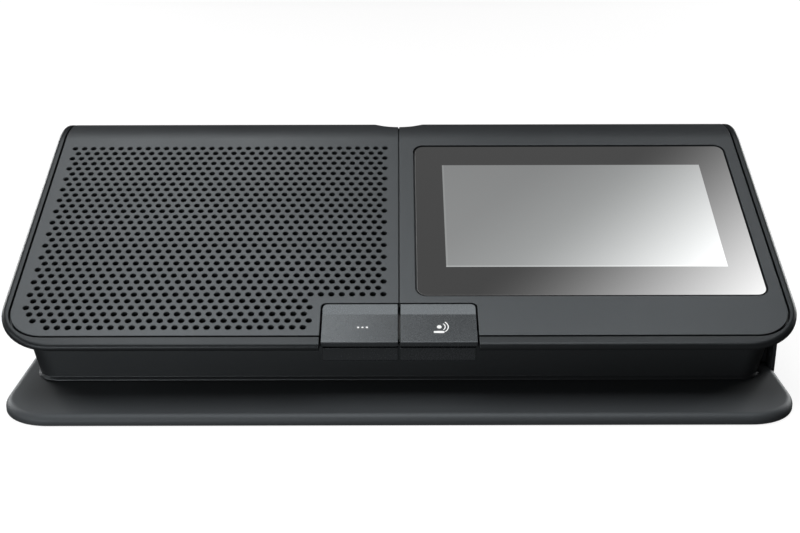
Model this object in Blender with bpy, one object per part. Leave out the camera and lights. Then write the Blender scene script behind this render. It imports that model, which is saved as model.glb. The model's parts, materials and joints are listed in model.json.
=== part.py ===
"""Conference delegate unit: a sloped desk unit with a loudspeaker at left and a touch display at right.

The top is one sheet form: it rises from the front edge at a steady slope and rolls over a rear ridge.
Everything on it is first laid out flat, with x across, s along the sheet from the plates' front edge, and
n outwards, and is then rolled over the ridge. World axes are metres, +X right, +Y back, +Z up, and the
origin lies on the table under the middle of the unit.
"""

from math import cos, hypot, pi, radians, sin, sqrt

import bmesh
import bpy
from mathutils import Vector

# General fits
GAP = 0.0003
GROOVE = 0.0004
CUT_MARGIN = 0.004
WELD = 0.000003

# Sloped top
SLOPE = radians(24.3)
SHEET_FRONT_Y = -0.0612
SHEET_FRONT_Z = 0.0266
FLAT_LENGTH = 0.1004
ROLL_RADIUS = 0.027
ROLL_STEPS = 12
REAR_BAND = 0.0133

# Top frame
FRAME_HALF_WIDTH = 0.1286
FRAME_THICKNESS = 0.0055
FRONT_RIM = 0.0049
SIDE_RIM = 0.0023
NOSE_RADIUS = 0.0011
UNDERCUT = 0.0050
FRAME_FRONT_CORNER = 0.0180
FRAME_REAR_CORNER = 0.0060

# Cover plates
PLATE_THICKNESS = 0.0018
PLATE_FRONT_CORNER = 0.0150
PLATE_REAR_CORNER = 0.0020
PLATE_WRAP_PAST_RIDGE = radians(55)
SEAM = 0.0003

# Perforations: the solid has every second hole of each row, four-sided and as large as the round one
HOLE_RADIUS = 0.0010
HOLE_PITCH = 0.003411
HOLE_SKIP = 2
HOLE_SIDES = 4
HOLE_TURN = radians(15)
FIELD_SIDE_MARGIN = 0.00475
FIELD_SEAM_MARGIN = 0.00505
FIELD_REAR_MARGIN = 0.0053
FIELD_FRONT_MARGIN = 0.0033
FIELD_KEY_MARGIN = 0.0037

# Acoustic cloth
CLOTH_THICKNESS = 0.0003
CLOTH_MARGIN = 0.0022
CLOTH_SEAM_MARGIN = 0.0030

# Display: the margins leave room for a standard panel, lit over 95.04 by 53.86 mm
DISPLAY_FROM_FRONT = 0.0314
GLASS_FROM_SEAM = 0.0060
GLASS_SIDE_MARGIN = 0.00536
GLASS_REAR_MARGIN = 0.00424
GLASS_BORDER_LEFT = 0.0096
GLASS_BORDER_RIGHT = 0.0099
GLASS_BORDER_FRONT = 0.0134
GLASS_BORDER_REAR = 0.0109
GLASS_THICKNESS = 0.00145
GLASS_SINK = 0.00035
GLASS_CORNER = 0.0045
PANEL_BORDER_SIDE = 0.0052
PANEL_BORDER_FRONT = 0.0076
PANEL_BORDER_REAR = 0.0056
PANEL_THICKNESS = 0.0034
BRACKET_BORDER = 0.0010
BRACKET_EAR = 0.0050
BRACKET_THICKNESS = 0.0010
BRACKET_SCREW_OUTSET = 0.0026
BRACKET_SCREW_INSET = 0.0080
BRACKET_WINDOW_INSET = 0.0180

# Keys: the face lies just below the plates, and a facet at its rear climbs back to them
KEY_OPENING_HALF = 0.0254
KEY_OPENING_REAR = 0.0143
KEY_OPENING_CORNER = 0.0018
KEY_SINK = 0.0008
KEY_FACET = 0.0042
KEY_FACET_SINK = 0.0001
KEY_FRONT = 0.0024
KEY_WALL = 0.0008
KEY_LIP = 0.00155
KEY_LIP_GROOVE = 0.0008
KEY_LIP_OVERHANG = 0.0012
KEY_APRON = 0.0053
KEY_APRON_WALL = 0.0017
KEY_APRON_INSET = 0.0005
KEY_SKIRT = 0.0026
KEY_TRAVEL = 0.0005
KEY_POCKET_DEPTH = 0.0048
KEY_FLOOR_FRONT = 0.0010
KEY_STEM_RADIUS = 0.0009
KEY_STEM_ENTRY = 0.0002
KEY_BOARD_THICKNESS = 0.0007
KEY_SWITCH_WIDTH = 0.0050
KEY_SWITCH_HEIGHT = 0.0012
SWITCH_BORE_CLEARANCE = 0.0004
SWITCH_FLOOR = 0.0003

# Loudspeaker, turned about an axis square to the slope
SPEAKER_OFF_MIDDLE = 0.00105
SPEAKER_FRONT_ROOM = 0.0195
SPEAKER_REAR_ROOM = 0.0119
SPEAKER_SIDES = 24
SPEAKER_RIM = 0.0070
SPEAKER_SCREW_INSET = 0.0030
SPEAKER_FLANGE_THICKNESS = 0.0012
SPEAKER_DEPTH = 0.0130
CONE_INSET = 0.0112
CONE_DEPTH = 0.0076
CONE_THICKNESS = 0.0006
CONE_TRAVEL = 0.0010
SURROUND_WIDTH = 0.0037
COIL_RADIUS = 0.0083
COIL_THICKNESS = 0.0007
COIL_LENGTH = 0.0085
POLE_CLEARANCE = 0.0007
MAGNET_RADIUS = 0.0200
MAGNET_THICKNESS = 0.0050
MAGNET_BORE = 0.0110
TOP_PLATE_THICKNESS = 0.0020
YOKE_THICKNESS = 0.0025
GASKET_THICKNESS = 0.0008
GASKET_WIDTH = 0.0018

# Microphone well in the rear ridge
WELL_PAST_RIDGE = 0.0105
WELL_RADIUS = 0.0096
WELL_FLARE = 0.0022
WELL_FLARE_HEIGHT = 0.0030
WELL_CUP_WALL = 0.0011
WELL_DEPTH = 0.0243
WELL_CUP_FLOOR = 0.0015
WELL_EDGE_DROP = 0.0012
INSERT_HEIGHT = 0.0052
INSERT_PIN_RADIUS = 0.0007
INSERT_PIN_CIRCLE = 0.0045
INSERT_PINS = 5

# Body shell under the overhang
NECK_INSET = 0.0045
NECK_FRONT_Y = -0.0460
NECK_WALL = 0.0022
NECK_FRONT_CORNER = 0.0080
NECK_REAR_CORNER = 0.0040
NECK_FLANGE = 0.0008
NECK_FLANGE_HEIGHT = 0.0006
LUG_LENGTH = 0.0060
LUG_HALF_WIDTH = 0.0040
LUG_THICKNESS = 0.0030
FRONT_LUG_INSET = 0.0241
REAR_LUG_HALF = 0.0026
REAR_LUG_REACH = 0.0090
BOSS_RADIUS = 0.0040
BOSS_HEIGHT = 0.0120

# Base plate and feet
BASE_DEPTH = 0.1446
BASE_THICKNESS = 0.0030
BASE_FRONT_CORNER = 0.0185
BASE_REAR_CORNER = 0.0080
BASE_EDGE = 0.0012
FOOT_RADIUS = 0.0070
FOOT_THICKNESS = 0.0015
FOOT_PROUD = 0.0008
FOOT_INSET = 0.0200

# Fasteners
SMALL_SCREW = 0.0010
SMALL_HEAD = 0.0019
MEDIUM_SCREW = 0.0014
MEDIUM_HEAD = 0.0023
BASE_SCREW = 0.0015
BASE_HEAD = 0.0028
HEAD_HEIGHT = 0.0014
SCREW_CLEARANCE = 0.0004
SCREW_SIDES = 10

# Main board and chain sockets
BOARD_SIDE_MARGIN = 0.0341
BOARD_FRONT_Y = -0.0300
BOARD_Z = 0.0100
BOARD_THICKNESS = 0.0016
BOARD_POST = 0.0030
JACK_WIDTH = 0.0160
JACK_HEIGHT = 0.0135
JACK_LENGTH = 0.0210
JACK_SPACING = 0.0260
JACK_PORT_WIDTH = 0.0119
JACK_PORT_HEIGHT = 0.0080
JACK_PORT_DEPTH = 0.0130
JACK_LATCH_WIDTH = 0.0060
JACK_LATCH_HEIGHT = 0.0022
JACK_PORT_LIFT = 0.0016

# Side pod on the right: headphone socket and volume buttons
POD_FRONT_Y = -0.0325
POD_REAR_Y = 0.0240
PANEL_WALL = 0.0013
PANEL_FRONT_Y = -0.0372
PANEL_RIB = 0.0004
PANEL_RIB_COUNT = 3
BUTTON_LENGTH = 0.0100
BUTTON_HEIGHT = 0.0045
BUTTON_THICKNESS = 0.0011
BUTTON_SINK = 0.0002
BUTTON_TRAVEL = 0.0006
BUTTON_STEM = 0.0012
BUTTON_STEM_ENTRY = 0.0005
VOLUME_UP_Y = 0.0120
VOLUME_DOWN_Y = -0.0020
HEADPHONE_Y = -0.0200
SIDE_Z = 0.0200
SIDE_BOARD_SETBACK = 0.0110
SIDE_BOARD_THICKNESS = 0.0010
SIDE_BOARD_HEIGHT = 0.0110
SIDE_SWITCH_WIDTH = 0.0052
SIDE_SWITCH_HEIGHT = 0.0030
SIDE_POST_RADIUS = 0.0016
HEADPHONE_COLLAR = 0.0031
HEADPHONE_BORE = 0.00175
HEADPHONE_BODY = 0.0070

# Leads held inside
LEAD_RADIUS = 0.0009
RIBBON_WIDTH = 0.0260
KEY_RIBBON_WIDTH = 0.0080
RIBBON_THICKNESS = 0.0003
KEY_RIBBON_S = 0.0102
RIBBON_SLOT = 0.0014
RIBBON_BEND = 0.0010

# Derived sizes
PLATE_HALF_WIDTH = FRAME_HALF_WIDTH - SIDE_RIM - GROOVE
PLATE_END = FLAT_LENGTH + ROLL_RADIUS * (SLOPE + PLATE_WRAP_PAST_RIDGE)
RECESS_DEPTH = PLATE_THICKNESS + GAP
ROLL_LENGTH = ROLL_RADIUS * (SLOPE + pi / 2)
FRAME_END = FLAT_LENGTH + ROLL_LENGTH + REAR_BAND
ROLL_Y = SHEET_FRONT_Y + FLAT_LENGTH * cos(SLOPE) + ROLL_RADIUS * sin(SLOPE)
ROLL_Z = SHEET_FRONT_Z + FLAT_LENGTH * sin(SLOPE) - ROLL_RADIUS * cos(SLOPE)
REAR_FACE_Y = ROLL_Y + ROLL_RADIUS
WELL_Y = ROLL_Y + WELL_PAST_RIDGE
RIDGE_Z = ROLL_Z + ROLL_RADIUS
NECK_HALF_WIDTH = FRAME_HALF_WIDTH - NECK_INSET
NECK_REAR_Y = REAR_FACE_Y - FRAME_THICKNESS - GAP
FRONT_LUG_X = NECK_HALF_WIDTH - FRONT_LUG_INSET
BOARD_LEFT = -JACK_SPACING - JACK_WIDTH / 2
BOARD_RIGHT = NECK_HALF_WIDTH - BOARD_SIDE_MARGIN
BASE_BOTTOM = FOOT_PROUD
BASE_TOP = BASE_BOTTOM + BASE_THICKNESS
NECK_BOTTOM = BASE_TOP + GAP
CLOTH_DEPTH = RECESS_DEPTH + CLOTH_THICKNESS + GAP
DISPLAY_LEFT = GLASS_FROM_SEAM + GLASS_BORDER_LEFT
DISPLAY_RIGHT = PLATE_HALF_WIDTH - GLASS_SIDE_MARGIN - GLASS_BORDER_RIGHT
DISPLAY_REAR = FLAT_LENGTH - GLASS_REAR_MARGIN - GLASS_BORDER_REAR
SPEAKER_X = -PLATE_HALF_WIDTH / 2 - SPEAKER_OFF_MIDDLE
SPEAKER_FLANGE = (FLAT_LENGTH - SPEAKER_FRONT_ROOM - SPEAKER_REAR_ROOM) / 2
SPEAKER_S = FLAT_LENGTH - SPEAKER_REAR_ROOM - SPEAKER_FLANGE
SPEAKER_OPENING = SPEAKER_FLANGE - SPEAKER_RIM
SPEAKER_SCREW_CIRCLE = SPEAKER_FLANGE - SPEAKER_SCREW_INSET
CONE_RADIUS = SPEAKER_FLANGE - CONE_INSET
UNDER_FRAME = -FRAME_THICKNESS - GAP
FLANGE_TOP = UNDER_FRAME - GASKET_THICKNESS - GAP
POLE_RADIUS = COIL_RADIUS - COIL_THICKNESS - POLE_CLEARANCE
BASKET_BORE = CONE_RADIUS + SURROUND_WIDTH + 2 * GAP
SPIDER_SEAT = POLE_RADIUS + SPEAKER_FLANGE_THICKNESS * 5
BRACKET_BOTTOM = UNDER_FRAME - BRACKET_THICKNESS
SWITCH_BOTTOM = -KEY_POCKET_DEPTH + 2 * GAP + KEY_BOARD_THICKNESS
SWITCH_TOP = SWITCH_BOTTOM + KEY_SWITCH_HEIGHT
KEY_CENTRE_X = KEY_OPENING_HALF / 2
KEY_CENTRE_S = (KEY_OPENING_REAR - KEY_FRONT) / 2
JACK_BOTTOM = BOARD_Z + BOARD_THICKNESS + GAP
POD_INNER_X = NECK_HALF_WIDTH + GAP
PANEL_INNER_X = FRAME_HALF_WIDTH - PANEL_WALL
POD_OUTER_X = PANEL_INNER_X - GAP
SIDE_BOARD_X = NECK_HALF_WIDTH - NECK_WALL - SIDE_BOARD_SETBACK


def skin(s, n):
    """World y and z of a point s along the top sheet and n outside it."""
    turn = min(max(s - FLAT_LENGTH, 0), ROLL_LENGTH) / ROLL_RADIUS
    angle = SLOPE - turn
    if s <= FLAT_LENGTH:
        y = SHEET_FRONT_Y + s * cos(SLOPE) - n * sin(SLOPE)
        return y, SHEET_FRONT_Z + s * sin(SLOPE) + n * cos(SLOPE)
    reach = ROLL_RADIUS + n
    drop = max(s - FLAT_LENGTH - ROLL_LENGTH, 0)
    return ROLL_Y - reach * sin(angle), ROLL_Z + reach * cos(angle) - drop


def on_slope(y, z):
    """The s and n of a world point, measured on the flat part of the slope."""
    back, up = y - SHEET_FRONT_Y, z - SHEET_FRONT_Z
    return back * cos(SLOPE) + up * sin(SLOPE), up * cos(SLOPE) - back * sin(SLOPE)


def roll_stations():
    """Where the rolled part of the sheet is creased: the ends of its flat facets."""
    return [FLAT_LENGTH + ROLL_LENGTH * i / ROLL_STEPS for i in range(ROLL_STEPS + 1)]


def clear_scene():
    for obj in list(bpy.data.objects):
        bpy.data.objects.remove(obj, do_unlink=True)


def empty(name, parent=None, location=(0, 0, 0), rotation=(0, 0, 0)):
    """A named reference point that carries other pieces."""
    obj = bpy.data.objects.new(name, None)
    bpy.context.collection.objects.link(obj)
    obj.parent = parent
    obj.location = location
    obj.rotation_euler = rotation
    return obj


def solid(name, bm):
    """Turn a bmesh into a named object with its faces pointing out."""
    bmesh.ops.recalc_face_normals(bm, faces=bm.faces)
    mesh = bpy.data.meshes.new(name)
    bm.to_mesh(mesh)
    bm.free()
    obj = bpy.data.objects.new(name, mesh)
    bpy.context.collection.objects.link(obj)
    return obj


def boolean(obj, other, operation="DIFFERENCE"):
    """Cut, join or intersect obj with other, which is used up."""
    modifier = obj.modifiers.new(operation.title(), "BOOLEAN")
    modifier.operation = operation
    modifier.object = other
    modifier.solver = "EXACT"
    depsgraph = bpy.context.evaluated_depsgraph_get()
    result = bpy.data.meshes.new_from_object(obj.evaluated_get(depsgraph))
    obj.modifiers.clear()
    bm = bmesh.new()
    bm.from_mesh(result)
    bmesh.ops.remove_doubles(bm, verts=bm.verts, dist=WELD)
    bmesh.ops.dissolve_degenerate(bm, edges=bm.edges, dist=WELD)
    bm.to_mesh(result)
    bm.free()
    obj.data = result
    bpy.data.objects.remove(other, do_unlink=True)


def cut(obj, *cutters):
    for cutter in cutters:
        boolean(obj, cutter)


def join(obj, *others):
    for other in others:
        boolean(obj, other, "UNION")


def together(name, pieces):
    """Join separate, closed cutters into one object, so that one cut makes them all."""
    bm = bmesh.new()
    for piece in pieces:
        bm.from_mesh(piece.data)
        bpy.data.objects.remove(piece, do_unlink=True)
    return solid(name, bm)


def fillet(corners, steps=4):
    """Outline through corners of (x, y, radius), with each radius as an arc."""
    points = []
    count = len(corners)
    for i, (x, y, radius) in enumerate(corners):
        here = Vector((x, y))
        before = Vector(corners[i - 1][:2]) - here
        after = Vector(corners[(i + 1) % count][:2]) - here
        if radius <= 0:
            points.append((x, y))
            continue
        before.normalize()
        after.normalize()
        half = before.angle(after) / 2
        centre = here + (before + after).normalized() * (radius / sin(half))
        first = here + before * (radius / sin(half) * cos(half)) - centre
        last = here + after * (radius / sin(half) * cos(half)) - centre
        sweep = first.angle_signed(last)
        for step in range(steps + 1):
            turned_by = -sweep * step / steps
            c, d = cos(turned_by), sin(turned_by)
            points.append((centre.x + first.x * c - first.y * d, centre.y + first.x * d + first.y * c))
    return points


def block(x0, x1, y0, y1, corner=0.0, steps=4):
    """Outline of a rectangle with equal corners."""
    return fillet([(x0, y0, corner), (x1, y0, corner), (x1, y1, corner), (x0, y1, corner)], steps)


def circle(x, y, radius, sides=SCREW_SIDES):
    angles = [2 * pi * i / sides for i in range(sides)]
    return [(x + radius * cos(angle), y + radius * sin(angle)) for angle in angles]


def loft(name, rings):
    """Solid through equal rings of points, closed at both ends."""
    bm = bmesh.new()
    levels = [[bm.verts.new(point) for point in ring] for ring in rings]
    for lower, upper in zip(levels, levels[1:]):
        for i in range(len(lower)):
            j = (i + 1) % len(lower)
            bm.faces.new((lower[i], lower[j], upper[j], upper[i]))
    bm.faces.new(levels[0][::-1])
    bm.faces.new(levels[-1])
    return solid(name, bm)


def prism(name, outline, low, high):
    """Outline in x and y, extruded in z from low to high."""
    return loft(name, [[(x, y, z) for x, y in outline] for z in (low, high)])


def across(name, outline, left, right):
    """Outline in y and z, extruded in x from left to right."""
    return loft(name, [[(x, y, z) for y, z in outline] for x in (left, right)])


def turned(name, profile, sides=SPEAKER_SIDES, ring=False):
    """Profile of (radius, z) turned about z. A ring's profile closes on itself, clear of the axis."""
    bm = bmesh.new()
    verts = [bm.verts.new((radius, 0, z)) for radius, z in profile]
    pairs = list(zip(verts, verts[1:]))
    if ring:
        pairs.append((verts[-1], verts[0]))
    edges = [bm.edges.new(pair) for pair in pairs]
    bmesh.ops.spin(
        bm, geom=verts + edges, cent=(0, 0, 0), axis=(0, 0, 1), angle=2 * pi, steps=sides, use_merge=True
    )
    bmesh.ops.remove_doubles(bm, verts=bm.verts, dist=1e-6)
    return solid(name, bm)


def roll(obj):
    """Crease a flat-laid piece at the roll's stations and bend it over the rear ridge."""
    bm = bmesh.new()
    bm.from_mesh(obj.data)
    stations = roll_stations()
    for s in stations:
        geometry = bm.verts[:] + bm.edges[:] + bm.faces[:]
        bmesh.ops.bisect_plane(bm, geom=geometry, dist=1e-7, plane_co=(0, s, 0), plane_no=(0, 1, 0))
    for vert in bm.verts:
        x, s, n = vert.co
        vert.co = (x, *creased(stations, s, n))
    bmesh.ops.recalc_face_normals(bm, faces=bm.faces)
    bm.to_mesh(obj.data)
    bm.free()


def creased(stations, s, n):
    """World y and z on the facets of the rolled sheet."""
    for start, end in zip(stations, stations[1:]):
        if start < s < end:
            share = (s - start) / (end - start)
            low, high = Vector(skin(start, n)), Vector(skin(end, n))
            return tuple(low.lerp(high, share))
    return skin(s, n)


def finish(obj, material, parent, location=(0, 0, 0), rotation=(0, 0, 0), smooth=None):
    """Give a piece its material and its place. Round pieces are shaded smooth."""
    obj.data.materials.clear()
    obj.data.materials.append(material)
    obj.parent = parent
    obj.location = location
    obj.rotation_euler = rotation
    if smooth is not None:
        obj.data.shade_smooth()
        obj.data.set_sharp_from_angle(angle=radians(smooth))
    return obj


def copy_of(obj, name, parent, location=(0, 0, 0)):
    """Another piece that shares its mesh with obj."""
    twin = bpy.data.objects.new(name, obj.data)
    bpy.context.collection.objects.link(twin)
    twin.parent = parent
    twin.location = location
    return twin


def material(name, colour, roughness, metallic=0.0):
    mat = bpy.data.materials.new(name)
    mat.use_nodes = True
    shader = mat.node_tree.nodes["Principled BSDF"]
    shader.inputs["Base Color"].default_value = (*colour, 1.0)
    shader.inputs["Roughness"].default_value = roughness
    shader.inputs["Metallic"].default_value = metallic
    mat.diffuse_color = (*colour, 1.0)
    return mat


def frame_outline(inset):
    """Outline of the top frame laid flat, drawn in by inset."""
    half = FRAME_HALF_WIDTH - inset
    front, rear = inset - FRONT_RIM, FRAME_END - inset
    front_corner = max(FRAME_FRONT_CORNER - inset, GAP)
    rear_corner = max(FRAME_REAR_CORNER - inset, GAP)
    corners = [(-half, front, front_corner), (half, front, front_corner)]
    corners += [(half, rear, rear_corner), (-half, rear, rear_corner)]
    return fillet(corners, 6)


def frame_slab(name, grow=0.0):
    """The top frame as a full slab with a rounded nose and an undercut, laid flat."""
    rings = []
    for i in range(5):
        angle = pi * i / 4
        inset = NOSE_RADIUS * (1 - sin(angle)) - grow
        depth = NOSE_RADIUS * (1 - cos(angle)) + grow * (1 if i > 2 else -1 if i < 2 else 0)
        rings.append([(x, s, -depth) for x, s in frame_outline(inset)])
    rings.append([(x, s, -FRAME_THICKNESS - grow) for x, s in frame_outline(UNDERCUT - grow)])
    return loft(name, rings)


def plates_recess():
    """Cutter for the shallow seat of both cover plates."""
    half, end = PLATE_HALF_WIDTH + GROOVE, PLATE_END + GROOVE
    front_corner, rear_corner = PLATE_FRONT_CORNER + GROOVE, PLATE_REAR_CORNER + GROOVE
    corners = [(-half, -GROOVE, front_corner), (half, -GROOVE, front_corner)]
    corners += [(half, end, rear_corner), (-half, end, rear_corner)]
    return prism("plates_recess", fillet(corners, 6), -RECESS_DEPTH, CUT_MARGIN)


def key_opening(front, floor):
    """Cutter for the keys' opening, from beyond the front edge or from its floor's front edge."""
    corner = KEY_OPENING_CORNER
    corners = [(-KEY_OPENING_HALF, front, 0), (KEY_OPENING_HALF, front, 0)]
    rear = KEY_OPENING_REAR if floor > -FRAME_THICKNESS else KEY_FLOOR_FRONT
    if floor <= -FRAME_THICKNESS:
        corner = 0
    corners += [(KEY_OPENING_HALF, rear, corner), (-KEY_OPENING_HALF, rear, corner)]
    return prism("key_opening", fillet(corners, 3), floor, CUT_MARGIN)


def cloth_outline(grow):
    """Outline of the acoustic cloth, which leaves out the keys' corner."""
    left, right = -PLATE_HALF_WIDTH + CLOTH_MARGIN - grow, -CLOTH_SEAM_MARGIN + grow
    front, rear = CLOTH_MARGIN - grow, FLAT_LENGTH - CLOTH_MARGIN + grow
    key_side, key_rear = -KEY_OPENING_HALF - CLOTH_MARGIN + grow, KEY_OPENING_REAR + CLOTH_MARGIN - grow
    corner = PLATE_FRONT_CORNER - CLOTH_MARGIN
    corners = [(left, front, corner), (key_side, front, 0), (key_side, key_rear, 0)]
    corners += [(right, key_rear, 0), (right, rear, 0), (left, rear, 0)]
    return fillet(corners, 5)


def panel_box(grow):
    """Outline of the display panel under the glass."""
    x0, x1 = DISPLAY_LEFT - PANEL_BORDER_SIDE - grow, DISPLAY_RIGHT + PANEL_BORDER_SIDE + grow
    s0, s1 = DISPLAY_FROM_FRONT - PANEL_BORDER_FRONT - grow, DISPLAY_REAR + PANEL_BORDER_REAR + grow
    return x0, x1, s0, s1


def glass_box(grow):
    """Outline of the touch glass."""
    x0, x1 = GLASS_FROM_SEAM - grow, DISPLAY_RIGHT + GLASS_BORDER_RIGHT + grow
    s0, s1 = DISPLAY_FROM_FRONT - GLASS_BORDER_FRONT - grow, DISPLAY_REAR + GLASS_BORDER_REAR + grow
    return x0, x1, s0, s1


def speaker_screw_places():
    reach = SPEAKER_SCREW_CIRCLE / sqrt(2)
    return [(SPEAKER_X + a * reach, SPEAKER_S + b * reach) for a in (-1, 1) for b in (-1, 1)]


def bracket_screw_places():
    x0, x1, s0, s1 = panel_box(BRACKET_SCREW_OUTSET)
    return [(x, s) for x in (x0, x1) for s in (s0 + BRACKET_SCREW_INSET, s1 - BRACKET_SCREW_INSET)]


def frame_screw_places():
    """Two screws by the front wall, two on the side walls just before the roll."""
    wall_s = (NECK_FRONT_Y + NECK_WALL - SHEET_FRONT_Y + UNDER_FRAME * sin(SLOPE)) / cos(SLOPE)
    front = wall_s + MEDIUM_HEAD
    rear_x = NECK_HALF_WIDTH - NECK_WALL - REAR_LUG_REACH / 2
    rear = FLAT_LENGTH - REAR_LUG_HALF
    return [(-FRONT_LUG_X, front), (FRONT_LUG_X, front), (-rear_x, rear), (rear_x, rear)]


def well_cutter():
    """Turned cutter for the microphone well, with a flared mouth."""
    top = RIDGE_Z + CUT_MARGIN
    profile = [(0, RIDGE_Z - WELL_DEPTH - CUT_MARGIN), (WELL_RADIUS, RIDGE_Z - WELL_DEPTH - CUT_MARGIN)]
    for i in range(5):
        angle = pi / 2 * i / 4
        radius = WELL_RADIUS + WELL_FLARE * (1 - cos(angle))
        profile.append((radius, RIDGE_Z - WELL_FLARE_HEIGHT * (1 - sin(angle))))
    profile += [(WELL_RADIUS + WELL_FLARE + CUT_MARGIN, top), (0, top)]
    cutter = turned("well_cutter", profile, 32)
    cutter.data.transform(translation(0, WELL_Y, 0))
    return cutter


def translation(x, y, z):
    matrix = bpy.context.scene.cursor.matrix.copy()
    matrix.identity()
    matrix.translation = (x, y, z)
    return matrix


def under_skin(name, depth):
    """Everything below the top sheet sunk by depth, as a wide block."""
    reach = FRAME_HALF_WIDTH * 2
    front = -FLAT_LENGTH / 4
    stations = [front] + roll_stations()
    outline = [skin(s, -depth) for s in stations]
    outline.append((outline[-1][0], -CUT_MARGIN))
    outline.append((outline[0][0], -CUT_MARGIN))
    return across(name, outline, -reach, reach)


def top_frame():
    frame = frame_slab("top_frame")
    pocket = prism("cloth_pocket", cloth_outline(GAP), -CLOTH_DEPTH, CUT_MARGIN)
    panel = prism("panel_opening", block(*panel_box(GROOVE)), -FRAME_THICKNESS - CUT_MARGIN, CUT_MARGIN)
    keys = key_opening(-FRONT_RIM - CUT_MARGIN, -KEY_POCKET_DEPTH)
    cut(frame, plates_recess(), together("seats", [pocket, panel, keys]))
    apron = key_opening(-FRONT_RIM - CUT_MARGIN, -FRAME_THICKNESS - CUT_MARGIN)
    speaker = circle(SPEAKER_X, SPEAKER_S, SPEAKER_OPENING, SPEAKER_SIDES)
    holes = [apron, prism("speaker_opening", speaker, -FRAME_THICKNESS - CUT_MARGIN, CUT_MARGIN)]
    below = -FRAME_THICKNESS - CUT_MARGIN
    small = circle(0, 0, SMALL_SCREW + SCREW_CLEARANCE, 8)
    for x, s in speaker_screw_places() + bracket_screw_places():
        outline = [(x + a, s + b) for a, b in small]
        holes.append(prism("screw_hole", outline, below, -CLOTH_DEPTH - GAP * 2))
    medium = circle(0, 0, MEDIUM_SCREW + SCREW_CLEARANCE, 8)
    for x, s in frame_screw_places():
        outline = [(x + a, s + b) for a, b in medium]
        holes.append(prism("screw_hole", outline, below, -CLOTH_DEPTH - GAP * 2))
    half = KEY_RIBBON_WIDTH / 2 + GAP
    slot = block(-half, half, KEY_RIBBON_S - RIBBON_SLOT, KEY_RIBBON_S + RIBBON_SLOT)
    holes.append(prism("ribbon_slot", slot, below, CUT_MARGIN))
    cut(frame, together("holes", holes))
    roll(frame)
    cut(frame, well_cutter())
    return frame


def plate_outline(side):
    """Cover plate on one side of the seam, with the keys' corner left out."""
    half, key = side * PLATE_HALF_WIDTH, side * KEY_OPENING_HALF
    seam = side * SEAM / 2
    corners = [(seam, KEY_OPENING_REAR, 0), (key, KEY_OPENING_REAR, KEY_OPENING_CORNER), (key, 0, 0)]
    corners += [(half, 0, PLATE_FRONT_CORNER), (half, PLATE_END, PLATE_REAR_CORNER), (seam, PLATE_END, 0)]
    return fillet(corners, 5)


def cover_plate(name, side):
    return prism(name, plate_outline(side), -PLATE_THICKNESS, 0)


def hole_places():
    """Staggered rows of holes that keep clear of the plate's edges and the keys."""
    places = []
    row = 0
    s = FLAT_LENGTH - FIELD_REAR_MARGIN
    corner_x, corner_s = PLATE_FRONT_CORNER - PLATE_HALF_WIDTH, PLATE_FRONT_CORNER
    while s > FIELD_FRONT_MARGIN:
        column = 0
        x = -FIELD_SEAM_MARGIN - SEAM / 2 - (row % 2) * HOLE_PITCH / 2
        while x > FIELD_SIDE_MARGIN - PLATE_HALF_WIDTH - GAP:
            by_key = s < KEY_OPENING_REAR + FIELD_KEY_MARGIN and x > -KEY_OPENING_HALF - FIELD_KEY_MARGIN
            in_corner = x < corner_x and s < corner_s
            past_corner = hypot(x - corner_x, s - corner_s) > PLATE_FRONT_CORNER - FIELD_FRONT_MARGIN
            kept = (column + row // 2) % HOLE_SKIP == 0
            if kept and not by_key and not (in_corner and past_corner):
                places.append((x, s))
            x -= HOLE_PITCH
            column += 1
        row += 1
        s -= HOLE_PITCH * sqrt(3) / 2
    return places


def grille_plate():
    plate = cover_plate("grille_plate", -1)
    bm = bmesh.new()
    radius = HOLE_RADIUS * sqrt(2 * pi / HOLE_SIDES / sin(2 * pi / HOLE_SIDES))
    for x, s in hole_places():
        angles = [HOLE_TURN + 2 * pi * i / HOLE_SIDES for i in range(HOLE_SIDES)]
        outline = [(x + radius * cos(angle), s + radius * sin(angle)) for angle in angles]
        low = [bm.verts.new((a, b, -PLATE_THICKNESS - GAP)) for a, b in outline]
        high = [bm.verts.new((a, b, GAP)) for a, b in outline]
        bm.faces.new(low[::-1])
        bm.faces.new(high)
        for i in range(HOLE_SIDES):
            j = (i + 1) % HOLE_SIDES
            bm.faces.new((low[i], low[j], high[j], high[i]))
    cut(plate, solid("perforations", bm))
    roll(plate)
    cut(plate, well_cutter())
    return plate


def bezel_plate():
    plate = cover_plate("bezel_plate", 1)
    corner = GLASS_CORNER + GROOVE
    window = block(*glass_box(GROOVE), corner)
    cut(plate, prism("glass_window", window, -PLATE_THICKNESS - GAP, GAP))
    roll(plate)
    cut(plate, well_cutter())
    return plate


def touch_glass():
    top = -GLASS_SINK
    return prism("touch_glass", block(*glass_box(0), GLASS_CORNER), top - GLASS_THICKNESS, top)


def lcd_panel():
    top = -GLASS_SINK - GLASS_THICKNESS - GAP
    return prism("lcd_panel", block(*panel_box(0)), top - PANEL_THICKNESS, top)


def lcd_bracket():
    """Sheet-metal bracket that clamps the display panel from behind."""
    x0, x1, s0, s1 = panel_box(BRACKET_BORDER)
    ear = BRACKET_EAR - BRACKET_BORDER
    outline = block(x0 - ear, x1 + ear, s0, s1, BRACKET_THICKNESS * 2, 2)
    bracket = prism("lcd_bracket", outline, BRACKET_BOTTOM, UNDER_FRAME)
    window = block(*panel_box(-BRACKET_WINDOW_INSET), BRACKET_THICKNESS * 3, 2)
    low, high = BRACKET_BOTTOM - GAP, UNDER_FRAME + GAP
    openings = [prism("window", window, low, high)]
    for x, s in bracket_screw_places():
        openings.append(prism("hole", circle(x, s, SMALL_SCREW + SCREW_CLEARANCE, 8), low, high))
    cut(bracket, together("bracket_openings", openings))
    return bracket


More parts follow.
